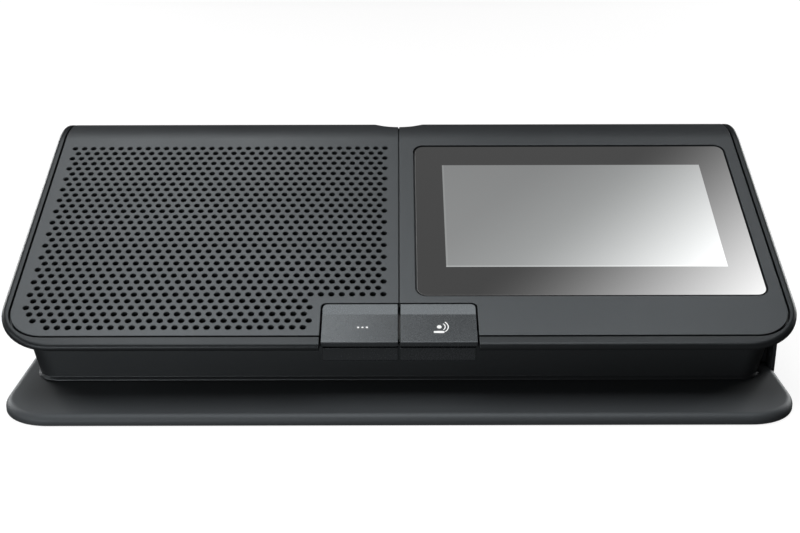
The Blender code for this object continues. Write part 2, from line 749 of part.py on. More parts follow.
def acoustic_cloth():
    return prism("acoustic_cloth", cloth_outline(0), -RECESS_DEPTH - CLOTH_THICKNESS, -RECESS_DEPTH)


def key_profile():
    """Side outline of a key in s and n: sloped facet, face, lip, groove, apron and rear skirt."""
    front_y, front_z = skin(-KEY_FRONT, -KEY_SINK)
    rear = KEY_OPENING_REAR - GAP
    chamfer = KEY_WALL / 4
    lip_z = front_z - KEY_LIP
    groove_z = lip_z - KEY_LIP_GROOVE
    apron_y = front_y + KEY_LIP_OVERHANG
    groove_y = apron_y + KEY_LIP_GROOVE
    inner_y = apron_y + KEY_APRON_WALL
    under = -KEY_SINK - KEY_WALL
    outline = [(rear, -KEY_FACET_SINK), (rear - KEY_FACET, -KEY_SINK), (chamfer - KEY_FRONT, -KEY_SINK)]
    outline += [on_slope(front_y, front_z - chamfer), on_slope(front_y, lip_z), on_slope(groove_y, lip_z)]
    outline += [on_slope(groove_y, groove_z), on_slope(apron_y, groove_z)]
    outline += [on_slope(apron_y, lip_z - KEY_APRON), on_slope(inner_y, lip_z - KEY_APRON)]
    inner_s = (inner_y - SHEET_FRONT_Y + under * sin(SLOPE)) / cos(SLOPE)
    outline += [(inner_s, under), (rear - KEY_WALL, under), (rear - KEY_WALL, -KEY_SKIRT), (rear, -KEY_SKIRT)]
    return outline


def key(name, side):
    """One key, with its stem reaching into the switch below."""
    inner, outer = side * SEAM, side * (KEY_OPENING_HALF - GROOVE)
    cap = across(name, key_profile(), min(inner, outer), max(inner, outer))
    rear = KEY_OPENING_REAR - GAP
    ahead, depth = -KEY_FRONT * 3, FRAME_THICKNESS * 2
    corners = [(inner, ahead, 0), (outer, ahead, 0), (outer, rear, KEY_OPENING_CORNER), (inner, rear, 0)]
    boolean(cap, prism("key_plan", fillet(corners, 3), -depth, depth), "INTERSECT")
    lip_s, lip_n = on_slope(*skin(-KEY_FRONT, -KEY_SINK))
    trim = [(outer - side * KEY_APRON_INSET, ahead), (outer + side * CUT_MARGIN, ahead)]
    trim += [(outer + side * CUT_MARGIN, KEY_FLOOR_FRONT), (outer - side * KEY_APRON_INSET, KEY_FLOOR_FRONT)]
    cut(cap, prism("apron_trim", trim, -depth, lip_n - KEY_LIP - KEY_LIP_GROOVE - KEY_WALL / 4))
    stem = circle(side * KEY_CENTRE_X, KEY_CENTRE_S, KEY_STEM_RADIUS)
    join(cap, prism("stem", stem, SWITCH_TOP - KEY_STEM_ENTRY, -KEY_SINK - KEY_WALL / 2))
    return cap


def key_board():
    s0, s1 = GROOVE + KEY_FLOOR_FRONT + GAP, KEY_OPENING_REAR - KEY_WALL - GAP * 3
    half = KEY_OPENING_HALF - GROOVE * 2
    low = GAP - KEY_POCKET_DEPTH
    return prism("key_board", block(-half, half, s0, s1), low, low + KEY_BOARD_THICKNESS)


def switch_housing(name, width, height, stem, entry, travel):
    """Switch body with a blind bore, in which the key's stem travels."""
    half = width / 2
    body = prism(name, block(-half, half, -half, half, half / 4, 2), 0, height)
    floor = max(height - entry - travel - SWITCH_FLOOR, SWITCH_FLOOR)
    cut(body, prism("bore", circle(0, 0, stem + SWITCH_BORE_CLEARANCE), floor, height + GAP))
    return body


def speaker_basket():
    """Flanged basket: a sloping wall from the flange down to the magnet."""
    top, bottom = 0, -SPEAKER_DEPTH
    flange, seat = SPEAKER_FLANGE, BASKET_BORE
    wall = SPEAKER_FLANGE_THICKNESS
    profile = [(seat, top), (flange, top), (flange, top - wall), (seat + wall, top - wall)]
    profile += [(MAGNET_RADIUS, bottom), (SPIDER_SEAT, bottom), (SPIDER_SEAT, bottom + wall)]
    profile += [(MAGNET_RADIUS - wall, bottom + wall), (seat, top - wall * 1.5)]
    basket = turned("speaker_basket", profile, ring=True)
    holes = []
    for x, s in speaker_screw_places():
        outline = circle(x - SPEAKER_X, s - SPEAKER_S, SMALL_SCREW + SCREW_CLEARANCE, 8)
        holes.append(prism("hole", outline, top - wall - GAP, GAP))
    cut(basket, together("basket_holes", holes))
    return basket


def speaker_cone():
    """Paper cone closed by a dust cap."""
    rim, root = CONE_RADIUS, COIL_RADIUS + CONE_THICKNESS
    deep = -CONE_DEPTH
    thin = CONE_THICKNESS
    dome = [(0, deep + 3 * thin), (root / 2, deep + 2.5 * thin), (root - thin, deep + thin)]
    under = [(root - thin, deep), (root / 2, deep + 1.4 * thin), (0, deep + 2 * thin)]
    profile = dome + [(root, deep + thin), (rim, 0), (rim, -thin), (root, deep)] + under
    return turned("speaker_cone", profile)


def voice_coil():
    outer, inner = COIL_RADIUS, COIL_RADIUS - COIL_THICKNESS
    section = [(outer, 0), (outer, -COIL_LENGTH), (inner, -COIL_LENGTH), (inner, 0)]
    return turned("voice_coil", section, ring=True)


def half_roll(name, inner, outer, thickness, height, steps=4):
    """Ring whose section is an arch, such as a surround or one wave of a spider."""
    middle, half = (inner + outer) / 2, (outer - inner) / 2
    upper = [(middle + half * cos(pi * i / steps), height * sin(pi * i / steps)) for i in range(steps + 1)]
    lower = [(radius, z - thickness) for radius, z in reversed(upper)]
    return turned(name, upper + lower, ring=True)


def washer(name, inner, outer, thickness):
    return turned(name, [(inner, 0), (outer, 0), (outer, -thickness), (inner, -thickness)], ring=True)


def speaker_yoke(pole_height):
    """Back plate and pole piece in one."""
    plate = MAGNET_RADIUS - GAP * 5
    profile = [(0, pole_height), (POLE_RADIUS, pole_height), (POLE_RADIUS, 0), (plate, 0)]
    profile += [(plate, -YOKE_THICKNESS), (0, -YOKE_THICKNESS)]
    return turned("speaker_yoke", profile)


def screw(name, shank, head, length):
    """Pan head at the origin, shank upwards."""
    profile = [(0, length), (shank, length), (shank, 0), (head, 0), (head, -HEAD_HEIGHT * 0.6)]
    profile += [(head * 0.7, -HEAD_HEIGHT), (0, -HEAD_HEIGHT)]
    return turned(name, profile, SCREW_SIDES)


def neck_outline(outset):
    half = NECK_HALF_WIDTH + outset
    front, rear = NECK_FRONT_Y - outset, NECK_REAR_Y + outset
    front_corner = max(NECK_FRONT_CORNER + outset, GAP)
    rear_corner = max(NECK_REAR_CORNER + outset, GAP)
    corners = [(-half, front, front_corner), (half, front, front_corner)]
    corners += [(half, rear, rear_corner), (-half, rear, rear_corner)]
    return fillet(corners, 5)


def boss_places():
    reach = NECK_WALL + BOSS_RADIUS * 0.7
    x = NECK_HALF_WIDTH - reach
    front, rear = NECK_FRONT_Y + NECK_FRONT_CORNER, NECK_REAR_Y - NECK_REAR_CORNER * 2
    return [(a * x, y) for a in (-1, 1) for y in (front, rear)]


def jack_places():
    return [-JACK_SPACING / 2, JACK_SPACING / 2]


def neck_wall():
    """Upright walls with a small flange along the bottom, tall enough to be trimmed by the top."""
    top = RIDGE_Z + CUT_MARGIN
    levels = [(NECK_FLANGE, NECK_BOTTOM), (NECK_FLANGE, NECK_BOTTOM + NECK_FLANGE_HEIGHT)]
    levels += [(0, NECK_BOTTOM + NECK_FLANGE_HEIGHT + NECK_FLANGE), (0, top)]
    rings = [[(x, y, z) for x, y in neck_outline(outset)] for outset, z in levels]
    wall = loft("body_shell", rings)
    cut(wall, prism("hollow", neck_outline(-NECK_WALL), NECK_BOTTOM - CUT_MARGIN, top + CUT_MARGIN))
    return wall


def slope_block(name, x0, x1, s0, s1, low, high):
    """Box given on the slope, placed in the world."""
    outline = [(x0, s0), (x1, s0), (x1, s1), (x0, s1)]
    piece = prism(name, outline, low, high)
    roll(piece)
    return piece


def lugs():
    """Tabs just under the top frame that take the frame screws."""
    pieces = []
    low, high = UNDER_FRAME - LUG_THICKNESS, UNDER_FRAME
    middle_y, middle_n = NECK_FRONT_Y + NECK_WALL / 2, (low + high) / 2
    start = (middle_y - SHEET_FRONT_Y + middle_n * sin(SLOPE)) / cos(SLOPE)
    places = frame_screw_places()
    for x, s in places[:2]:
        end = s + MEDIUM_HEAD
        pieces.append(slope_block("lug", x - LUG_HALF_WIDTH, x + LUG_HALF_WIDTH, start, end, low, high))
    for x, s in places[2:]:
        side = 1 if x > 0 else -1
        near = side * (NECK_HALF_WIDTH - NECK_WALL / 2)
        far = side * (NECK_HALF_WIDTH - NECK_WALL - REAR_LUG_REACH)
        x0, x1 = min(near, far), max(near, far)
        pieces.append(slope_block("lug", x0, x1, s - REAR_LUG_HALF, s + REAR_LUG_HALF, low, high))
    return pieces


def lug_holes():
    holes = []
    for x, s in frame_screw_places():
        outline = circle(x, s, MEDIUM_SCREW + SCREW_CLEARANCE, 8)
        hole = prism("hole", outline, UNDER_FRAME - LUG_THICKNESS - GAP, UNDER_FRAME + GAP)
        roll(hole)
        holes.append(hole)
    return together("lug_holes", holes)


def side_posts():
    """Posts inside the right wall that hold the side board."""
    x0, x1 = SIDE_BOARD_X + SIDE_BOARD_THICKNESS + GAP, NECK_HALF_WIDTH - NECK_WALL / 2
    return [across("post", circle(y, SIDE_Z, SIDE_POST_RADIUS, 8), x0, x1) for y in side_post_places()]


def side_post_places():
    y0, y1 = HEADPHONE_Y - HEADPHONE_BODY, VOLUME_UP_Y + BUTTON_LENGTH / 2
    return y0 - SIDE_POST_RADIUS * 2, y1 + SIDE_POST_RADIUS * 2


def wall_openings():
    """Rear openings for the chain sockets and the side window behind the pod."""
    pieces = []
    rear0, rear1 = NECK_REAR_Y - NECK_WALL * 2, NECK_REAR_Y + NECK_WALL
    for x in jack_places():
        half = JACK_WIDTH / 2 + GAP
        outline = block(x - half, x + half, rear0, rear1)
        pieces.append(prism("jack_opening", outline, JACK_BOTTOM - GAP, JACK_BOTTOM + JACK_HEIGHT + GAP))
    x0, x1 = NECK_HALF_WIDTH - NECK_WALL * 2, NECK_HALF_WIDTH + NECK_WALL
    y0, y1 = HEADPHONE_Y - HEADPHONE_BODY, VOLUME_UP_Y + BUTTON_LENGTH / 2
    low, high = SIDE_Z - SIDE_BOARD_HEIGHT / 2, SIDE_Z + SIDE_BOARD_HEIGHT / 2
    pieces.append(prism("side_window", block(x0, x1, y0, y1), low, high))
    half = KEY_RIBBON_WIDTH / 2 + GAP
    top_z = skin(on_slope(NECK_FRONT_Y, SHEET_FRONT_Z)[0], 0)[1]
    outline = block(-half, half, NECK_FRONT_Y - NECK_WALL, NECK_FRONT_Y + NECK_WALL * 2)
    notch_low = SHEET_FRONT_Z + (NECK_FRONT_Y - SHEET_FRONT_Y) * sin(SLOPE) / cos(SLOPE)
    notch_low += (UNDER_FRAME - RIBBON_THICKNESS - 3 * GAP) / cos(SLOPE)
    pieces.append(prism("ribbon_notch", outline, notch_low, top_z + CUT_MARGIN))
    relief = circle(0, WELL_Y, WELL_RADIUS, 32)
    pieces.append(prism("well_relief", relief, RIDGE_Z - WELL_DEPTH - GAP, RIDGE_Z))
    outline = block(NECK_HALF_WIDTH - GAP, FRAME_HALF_WIDTH, POD_FRONT_Y - GAP, POD_REAR_Y + GAP)
    flange_top = NECK_BOTTOM + NECK_FLANGE_HEIGHT + NECK_FLANGE
    pieces.append(prism("pod_relief", outline, NECK_BOTTOM - CUT_MARGIN, flange_top + GAP))
    return together("wall_openings", pieces)


def body_shell():
    shell = neck_wall()
    boolean(shell, under_skin("below_frame", FRAME_THICKNESS + GAP), "INTERSECT")
    bosses = [prism("boss", circle(x, y, BOSS_RADIUS, 12), NECK_BOTTOM, NECK_BOTTOM + BOSS_HEIGHT)
              for x, y in boss_places()]
    join(shell, *bosses)
    holes = [prism("boss_hole", circle(x, y, BASE_SCREW + SCREW_CLEARANCE, 8), 0, NECK_BOTTOM + BOSS_HEIGHT * 0.8)
             for x, y in boss_places()]
    cut(shell, together("boss_holes", holes))
    join(shell, *lugs(), *side_posts())
    frame = frame_slab("frame_clearance", GAP)
    roll(frame)
    cut(shell, frame, lug_holes(), wall_openings())
    return shell


def base_outline(inset):
    half, deep = FRAME_HALF_WIDTH - inset, BASE_DEPTH / 2 - inset
    front_corner = max(BASE_FRONT_CORNER - inset, GAP)
    rear_corner = max(BASE_REAR_CORNER - inset, GAP)
    corners = [(-half, -deep, front_corner), (half, -deep, front_corner)]
    corners += [(half, deep, rear_corner), (-half, deep, rear_corner)]
    return fillet(corners, 7)


def post_places():
    """Posts on the base that carry the main board."""
    inset = BOARD_POST * 2
    rows = (BOARD_FRONT_Y + inset, NECK_REAR_Y - JACK_WIDTH)
    return [(x, y) for x in (BOARD_LEFT + inset, BOARD_RIGHT - inset) for y in rows]


def foot_places():
    x, y = FRAME_HALF_WIDTH - FOOT_INSET, BASE_DEPTH / 2 - FOOT_INSET
    return {"front_left": (-x, -y), "front_right": (x, -y), "rear_left": (-x, y), "rear_right": (x, y)}


def base_plate():
    """Flat foot with a rounded top edge, seats for the rubber feet and screw holes."""
    rings = [[(x, y, BASE_BOTTOM) for x, y in base_outline(BASE_EDGE / 3)]]
    rings.append([(x, y, BASE_BOTTOM + BASE_EDGE / 3) for x, y in base_outline(0)])
    for i in range(4):
        angle = pi / 2 * i / 3
        inset, z = BASE_EDGE * (1 - cos(angle)), BASE_TOP - BASE_EDGE * (1 - sin(angle))
        rings.append([(x, y, z) for x, y in base_outline(inset)])
    base = loft("base_plate", rings)
    top = BOARD_Z - GAP
    join(base, *[prism("post", circle(x, y, BOARD_POST, 10), BASE_TOP - GAP, top) for x, y in post_places()])
    seat_top = FOOT_THICKNESS + GAP
    cuts = [prism("seat", circle(x, y, FOOT_RADIUS + GAP, 20), -GAP, seat_top) for x, y in foot_places().values()]
    for x, y in boss_places():
        cuts.append(prism("shank", circle(x, y, BASE_SCREW + SCREW_CLEARANCE, 8), -GAP, BASE_TOP + GAP))
    cut(base, together("base_cuts", cuts))
    heads = [prism("head", circle(x, y, BASE_HEAD + GAP, 12), -GAP, BASE_BOTTOM + HEAD_HEIGHT + GAP)
             for x, y in boss_places()]
    cut(base, together("head_cuts", heads))
    return base


def chain_jack(name):
    """Eight-way socket: a box with a stepped port in its rear face."""
    half = JACK_WIDTH / 2
    body = prism(name, block(-half, half, -JACK_LENGTH, 0), 0, JACK_HEIGHT)
    wide, tall, latch = JACK_PORT_WIDTH / 2, JACK_PORT_HEIGHT, JACK_LATCH_WIDTH / 2
    low = JACK_PORT_LIFT + JACK_LATCH_HEIGHT
    outline = [(-latch, JACK_PORT_LIFT), (latch, JACK_PORT_LIFT), (latch, low), (wide, low)]
    outline += [(wide, low + tall), (-wide, low + tall), (-wide, low), (-latch, low)]
    port = loft("port", [[(x, y, z) for x, z in outline] for y in (GAP, -JACK_PORT_DEPTH)])
    cut(body, port)
    return body


def mic_well_cup():
    """Liner of the microphone well, whose top edge follows the ridge."""
    outer, inner = WELL_RADIUS - GAP, WELL_RADIUS - GAP - WELL_CUP_WALL
    floor = RIDGE_Z - WELL_DEPTH
    profile = [(0, floor + WELL_CUP_FLOOR), (inner, floor + WELL_CUP_FLOOR), (inner, RIDGE_Z + CUT_MARGIN)]
    profile += [(outer, RIDGE_Z + CUT_MARGIN), (outer, floor), (0, floor)]
    cup = turned("mic_well_cup", profile, 32)
    cup.data.transform(translation(0, WELL_Y, 0))
    boolean(cup, under_skin("below_edge", WELL_EDGE_DROP), "INTERSECT")
    hole = circle(0, WELL_Y, LEAD_RADIUS * 2, 8)
    cut(cup, prism("lead_hole", hole, floor - GAP, floor + WELL_CUP_FLOOR + GAP))
    return cup


def mic_socket_insert():
    """Contact block at the bottom of the well."""
    radius = WELL_RADIUS - 2 * GAP - WELL_CUP_WALL
    insert = prism("mic_socket_insert", circle(0, 0, radius, 24), 0, INSERT_HEIGHT)
    holes = []
    for i in range(INSERT_PINS):
        angle = 2 * pi * (i + 0.5) / (INSERT_PINS + 1) - pi / 2
        x, y = INSERT_PIN_CIRCLE * cos(angle), INSERT_PIN_CIRCLE * sin(angle)
        holes.append(prism("pin_hole", circle(x, y, INSERT_PIN_RADIUS, 6), INSERT_HEIGHT / 3, INSERT_HEIGHT + GAP))
    cut(insert, together("pin_holes", holes))
    return insert


def side_z_top(y):
    """Height of the top sheet above a place on the flat slope."""
    return SHEET_FRONT_Z + (y - SHEET_FRONT_Y) * sin(SLOPE) / cos(SLOPE)


def pod_block(name, x0, x1, front):
    """Upright slab on the right side, trimmed to fit under the top frame."""
    low, high = BASE_TOP + GAP, side_z_top(POD_REAR_Y)
    piece = prism(name, block(x0, x1, front, POD_REAR_Y), low, high)
    frame = frame_slab("frame_clearance", GAP)
    roll(frame)
    boolean(piece, under_skin("below_nose", NOSE_RADIUS * 2), "INTERSECT")
    cut(piece, frame)
    return piece


def side_windows(clearance, collar, low_x, high_x):
    """Cutters for the two buttons and the headphone socket, running along x."""
    pieces = []
    for y in (VOLUME_UP_Y, VOLUME_DOWN_Y):
        length, height = BUTTON_LENGTH / 2 + clearance, BUTTON_HEIGHT / 2 + clearance
        outline = [(y + a, SIDE_Z + b) for a, b in block(-length, length, -height, height, height * 0.8, 3)]
        pieces.append(across("window", outline, low_x, high_x))
    outline = circle(HEADPHONE_Y, SIDE_Z, collar, 12)
    pieces.append(across("collar_hole", outline, low_x, high_x))
    return together("side_windows", pieces)


def side_pod():
    pod = pod_block("side_pod", POD_INNER_X, POD_OUTER_X, POD_FRONT_Y)
    cut(pod, side_windows(GAP * 2, HEADPHONE_COLLAR + GAP, POD_INNER_X - GAP, POD_OUTER_X + GAP))
    return pod


def side_panel():
    """Outer wall of the pod. Its front end stands ahead of the pod and is ribbed."""
    panel = pod_block("side_panel", PANEL_INNER_X, FRAME_HALF_WIDTH, PANEL_FRONT_Y)
    cut(panel, side_windows(GAP, HEADPHONE_COLLAR + GAP, PANEL_INNER_X - GAP, FRAME_HALF_WIDTH + GAP))
    grooves = []
    pitch = (POD_FRONT_Y - PANEL_FRONT_Y) / (PANEL_RIB_COUNT + 1)
    low, high = BASE_TOP, side_z_top(POD_REAR_Y)
    for i in range(PANEL_RIB_COUNT):
        y = PANEL_FRONT_Y + pitch * (i + 1)
        x = PANEL_INNER_X
        outline = [(x - PANEL_RIB, y - PANEL_RIB), (x + PANEL_RIB, y), (x - PANEL_RIB, y + PANEL_RIB)]
        grooves.append(prism("rib_groove", outline, low, high))
    cut(panel, together("rib_grooves", grooves))
    return panel


def volume_button(name):
    """Rounded button face with a stem behind it, at the origin of its face."""
    length, height = BUTTON_LENGTH / 2, BUTTON_HEIGHT / 2
    face = across(name, block(-length, length, -height, height, height * 0.8, 3), -BUTTON_THICKNESS, 0)
    reach = FRAME_HALF_WIDTH - BUTTON_SINK - SIDE_BOARD_X - SIDE_BOARD_THICKNESS - GAP - SIDE_SWITCH_HEIGHT
    stem = across("stem", circle(0, 0, BUTTON_STEM), -reach - BUTTON_STEM_ENTRY, -BUTTON_THICKNESS / 2)
    join(face, stem)
    return face


def side_switch(name):
    """Switch on the side board, its bore facing +X."""
    half = SIDE_SWITCH_WIDTH / 2
    body = across(name, block(-half, half, -half, half, half / 4, 2), 0, SIDE_SWITCH_HEIGHT)
    floor = SIDE_SWITCH_HEIGHT - BUTTON_STEM_ENTRY - BUTTON_TRAVEL - SWITCH_FLOOR
    bore = across("bore", circle(0, 0, BUTTON_STEM + SWITCH_BORE_CLEARANCE), floor, SIDE_SWITCH_HEIGHT + GAP)
    cut(body, bore)
    return body


def side_board():
    first, last = side_post_places()
    y0, y1 = first - SIDE_POST_RADIUS * 1.5, last + SIDE_POST_RADIUS * 1.5
    low, high = SIDE_Z - SIDE_BOARD_HEIGHT / 2, SIDE_Z + SIDE_BOARD_HEIGHT / 2
    x0 = SIDE_BOARD_X
    return prism("side_board", block(x0, x0 + SIDE_BOARD_THICKNESS, y0, y1), low, high)


def headphone_jack():
    """Block on the side board with a round collar through the pod."""
    x0 = SIDE_BOARD_X + SIDE_BOARD_THICKNESS + GAP
    x1 = NECK_HALF_WIDTH - NECK_WALL
    half = HEADPHONE_BODY / 2
    outline = block(HEADPHONE_Y - half, HEADPHONE_Y + half, SIDE_Z - half, SIDE_Z + half)
    body = across("headphone_jack", outline, x0, x1)
    collar_end = FRAME_HALF_WIDTH - BUTTON_SINK
    join(body, across("collar", circle(HEADPHONE_Y, SIDE_Z, HEADPHONE_COLLAR, 16), x1 - GAP, collar_end))
    cut(body, across("bore", circle(HEADPHONE_Y, SIDE_Z, HEADPHONE_BORE, 12), x0 + half / 2, collar_end + GAP))
    return body


def main_board():
    rear = NECK_REAR_Y - NECK_WALL - GAP
    outline = block(BOARD_LEFT, BOARD_RIGHT, BOARD_FRONT_Y, rear, BOARD_POST, 2)
    return prism("main_board", outline, BOARD_Z, BOARD_Z + BOARD_THICKNESS)


def ribbon(name, route, width, x):
    """Flat flexible lead: the route in y and z, thickened and given its width."""
    upper, lower = [], []
    for i, point in enumerate(route):
        ahead = Vector(route[min(i + 1, len(route) - 1)]) - Vector(route[max(i - 1, 0)])
        side = Vector((-ahead.y, ahead.x)).normalized() * RIBBON_THICKNESS / 2
        upper.append(tuple(Vector(point) + side))
        lower.append(tuple(Vector(point) - side))
    return across(name, upper + lower[::-1], x - width / 2, x + width / 2)


def key_ribbon_route(board_top):
    """Down through the pocket's slot, back under the frame, then down to the main board."""
    under = UNDER_FRAME - RIBBON_THICKNESS / 2
    slope = [(KEY_RIBBON_S, -KEY_POCKET_DEPTH), (KEY_RIBBON_S, under + RIBBON_BEND)]
    centre = (KEY_RIBBON_S + RIBBON_BEND, under + RIBBON_BEND)
    for i in range(1, 5):
        angle = pi / 2 * i / 4
        slope.append((centre[0] - RIBBON_BEND * cos(angle), centre[1] - RIBBON_BEND * sin(angle)))
    inside = (NECK_FRONT_Y + NECK_WALL * 2 - SHEET_FRONT_Y + under * sin(SLOPE)) / cos(SLOPE)
    slope.append((inside, under))
    route = [skin(s, n) for s, n in slope]
    y, z = route[-1]
    end = (BOARD_FRONT_Y + KEY_RIBBON_WIDTH / 2, board_top)
    along = Vector((cos(SLOPE), sin(SLOPE))) * (end[0] - y)
    return route + bent((y, z), (y + along.x, z + along.y), (end[0], z), end)[1:]


def bent(first, handle0, handle1, last, steps=10):
    """Points of a smooth curve from first to last, pulled towards two handles."""
    points = []
    for i in range(steps + 1):
        t = i / steps
        u = 1 - t
        weights = (u ** 3, 3 * u * u * t, 3 * u * t * t, t ** 3)
        corners = (first, handle0, handle1, last)
        points.append(tuple(sum(w * c[k] for w, c in zip(weights, corners)) for k in (0, 1)))
    return points


def eased(start, end, rise, steps=10):
    """Route in y and z that leaves start square to the slope and lands on end from above."""
    handle0 = (start[0] + sin(SLOPE) * rise, start[1] - cos(SLOPE) * rise)
    return bent(start, handle0, (end[0], end[1] + rise), end, steps)


def lead(name, points, smoothing=8):
    """Round lead: a tube along a smooth curve through the points."""
    curve = bpy.data.curves.new(name, "CURVE")
    curve.dimensions = "3D"
    curve.bevel_depth = LEAD_RADIUS
    curve.bevel_resolution = 2
    curve.use_fill_caps = True
    ends = [points[0]] + list(points) + [points[-1]]
    route = []
    for a, b, c, d in zip(ends, ends[1:], ends[2:], ends[3:]):
        a, b, c, d = Vector(a), Vector(b), Vector(c), Vector(d)
        for i in range(smoothing):
            t = i / smoothing
            bend = (2 * a - 5 * b + 4 * c - d) * t * t + (3 * b - a - 3 * c + d) * t ** 3
            route.append((2 * b + (c - a) * t + bend) / 2)
    route.append(Vector(points[-1]))
    spline = curve.splines.new("POLY")
    spline.points.add(len(route) - 1)
    for target, point in zip(spline.points, route):
        target.co = (*point, 1)
    obj = bpy.data.objects.new(name, curve)
    bpy.context.collection.objects.link(obj)
    return obj


def build_case(unit, slope, mats):
    finish(base_plate(), mats["base"], unit, smooth=35)
    foot = turned("rubber_foot_front_left", foot_profile(), 20)
    finish(foot, mats["rubber"], unit, smooth=35)
    for name, (x, y) in foot_places().items():
        if name == "front_left":
            foot.location = (x, y, 0)
        else:
            copy_of(foot, "rubber_foot_" + name, unit, (x, y, 0))
    finish(body_shell(), mats["shell"], unit, smooth=30)
    finish(top_frame(), mats["frame"], unit, smooth=30)
    finish(grille_plate(), mats["grille"], unit, smooth=30)
    finish(bezel_plate(), mats["bezel"], unit, smooth=30)
    finish(acoustic_cloth(), mats["cloth"], slope)
    place_screws("base_screw", screw("base_screw_1", BASE_SCREW, BASE_HEAD, BOSS_HEIGHT * 0.7), mats["steel"],
                 unit, [(x, y, BASE_BOTTOM + HEAD_HEIGHT) for x, y in boss_places()])
    head_n = UNDER_FRAME - LUG_THICKNESS - GAP
    length = LUG_THICKNESS + GAP + (FRAME_THICKNESS - CLOTH_DEPTH) / 2
    place_screws("frame_screw", screw("frame_screw_1", MEDIUM_SCREW, MEDIUM_HEAD, length), mats["steel"],
                 slope, [(x, s, head_n) for x, s in frame_screw_places()])


def foot_profile():
    round_off = FOOT_PROUD / 2
    return [(0, FOOT_THICKNESS), (FOOT_RADIUS, FOOT_THICKNESS), (FOOT_RADIUS, round_off),
            (FOOT_RADIUS - round_off, 0), (0, 0)]


def place_screws(stem, first, mat, parent, places):
    """One screw and its copies, named by number."""
    finish(first, mat, parent, places[0], smooth=35)
    for i, place in enumerate(places[1:], 2):
        copy_of(first, f"{stem}_{i}", parent, place)


def build_display(slope, mats):
    finish(touch_glass(), mats["glass"], slope)
    finish(lcd_panel(), mats["panel"], slope)
    finish(lcd_bracket(), mats["sheet"], slope)
    length = BRACKET_THICKNESS + GAP + (FRAME_THICKNESS - CLOTH_DEPTH) / 2
    first = screw("bracket_screw_1", SMALL_SCREW, SMALL_HEAD, length)
    places = [(x, s, BRACKET_BOTTOM - GAP) for x, s in bracket_screw_places()]
    place_screws("bracket_screw", first, mats["steel"], slope, places)


def build_keys(slope, mats):
    for name, side in (("key_left", -1), ("key_right", 1)):
        centre = (side * KEY_CENTRE_X, KEY_CENTRE_S, 0)
        guide = empty(name + "_slide", slope, centre)
        cap = key(name, side)
        cap.data.transform(translation(-centre[0], -centre[1], 0))
        finish(cap, mats[name], guide)
    finish(key_board(), mats["board"], slope)
    housing = switch_housing("key_switch_left", KEY_SWITCH_WIDTH, KEY_SWITCH_HEIGHT, KEY_STEM_RADIUS,
                             KEY_STEM_ENTRY, KEY_TRAVEL)
    finish(housing, mats["switch"], slope, (-KEY_CENTRE_X, KEY_CENTRE_S, SWITCH_BOTTOM))
    copy_of(housing, "key_switch_right", slope, (KEY_CENTRE_X, KEY_CENTRE_S, SWITCH_BOTTOM))


def build_speaker(slope, mats):
    """Loudspeaker parts in order from the frame's underside to the magnet."""
    axis = empty("speaker_axis", slope, (SPEAKER_X, SPEAKER_S, 0))
    seat = SPEAKER_OPENING + GAP
    gasket = washer("speaker_gasket", seat, seat + GASKET_WIDTH, GASKET_THICKNESS)
    finish(gasket, mats["foam"], axis, (0, 0, UNDER_FRAME), smooth=35)
    finish(speaker_basket(), mats["basket"], axis, (0, 0, FLANGE_TOP), smooth=35)
    inner = CONE_RADIUS + GAP
    arch = half_roll("speaker_surround", inner, inner + SURROUND_WIDTH, CONE_THICKNESS, SURROUND_WIDTH * 0.4)
    finish(arch, mats["rubber"], axis, (0, 0, FLANGE_TOP), smooth=60)
    slide = empty("speaker_cone_slide", axis, (0, 0, FLANGE_TOP))
    finish(speaker_cone(), mats["paper"], slide, smooth=35)
    coil_top = -CONE_DEPTH - GAP
    finish(voice_coil(), mats["copper"], slide, (0, 0, coil_top), smooth=35)
    wave_in, wave_out = COIL_RADIUS + GAP, SPIDER_SEAT + SPEAKER_FLANGE_THICKNESS
    spider_z = FLANGE_TOP - SPEAKER_DEPTH + SPEAKER_FLANGE_THICKNESS + CONE_THICKNESS + GAP
    spider = half_roll("speaker_spider", wave_in, wave_out, CONE_THICKNESS, CONE_THICKNESS)
    finish(spider, mats["spider"], axis, (0, 0, spider_z), smooth=60)
    z = FLANGE_TOP - SPEAKER_DEPTH - GAP
    plate = washer("speaker_top_plate", COIL_RADIUS + GAP * 2, MAGNET_RADIUS - GAP * 3, TOP_PLATE_THICKNESS)
    finish(plate, mats["steel"], axis, (0, 0, z), smooth=35)
    z -= TOP_PLATE_THICKNESS + GAP
    magnet = washer("speaker_magnet", MAGNET_BORE, MAGNET_RADIUS, MAGNET_THICKNESS)
    finish(magnet, mats["ferrite"], axis, (0, 0, z), smooth=35)
    z -= MAGNET_THICKNESS + GAP
    yoke = speaker_yoke(MAGNET_THICKNESS + GAP * 2 + TOP_PLATE_THICKNESS)
    finish(yoke, mats["steel"], axis, (0, 0, z), smooth=35)
    length = SPEAKER_FLANGE_THICKNESS + GAP * 2 + GASKET_THICKNESS + (FRAME_THICKNESS - CLOTH_DEPTH) / 2
    first = screw("speaker_screw_1", SMALL_SCREW, SMALL_HEAD, length)
    head_n = FLANGE_TOP - SPEAKER_FLANGE_THICKNESS - GAP
    places = [(x, s, head_n) for x, s in speaker_screw_places()]
    place_screws("speaker_screw", first, mats["steel"], slope, places)


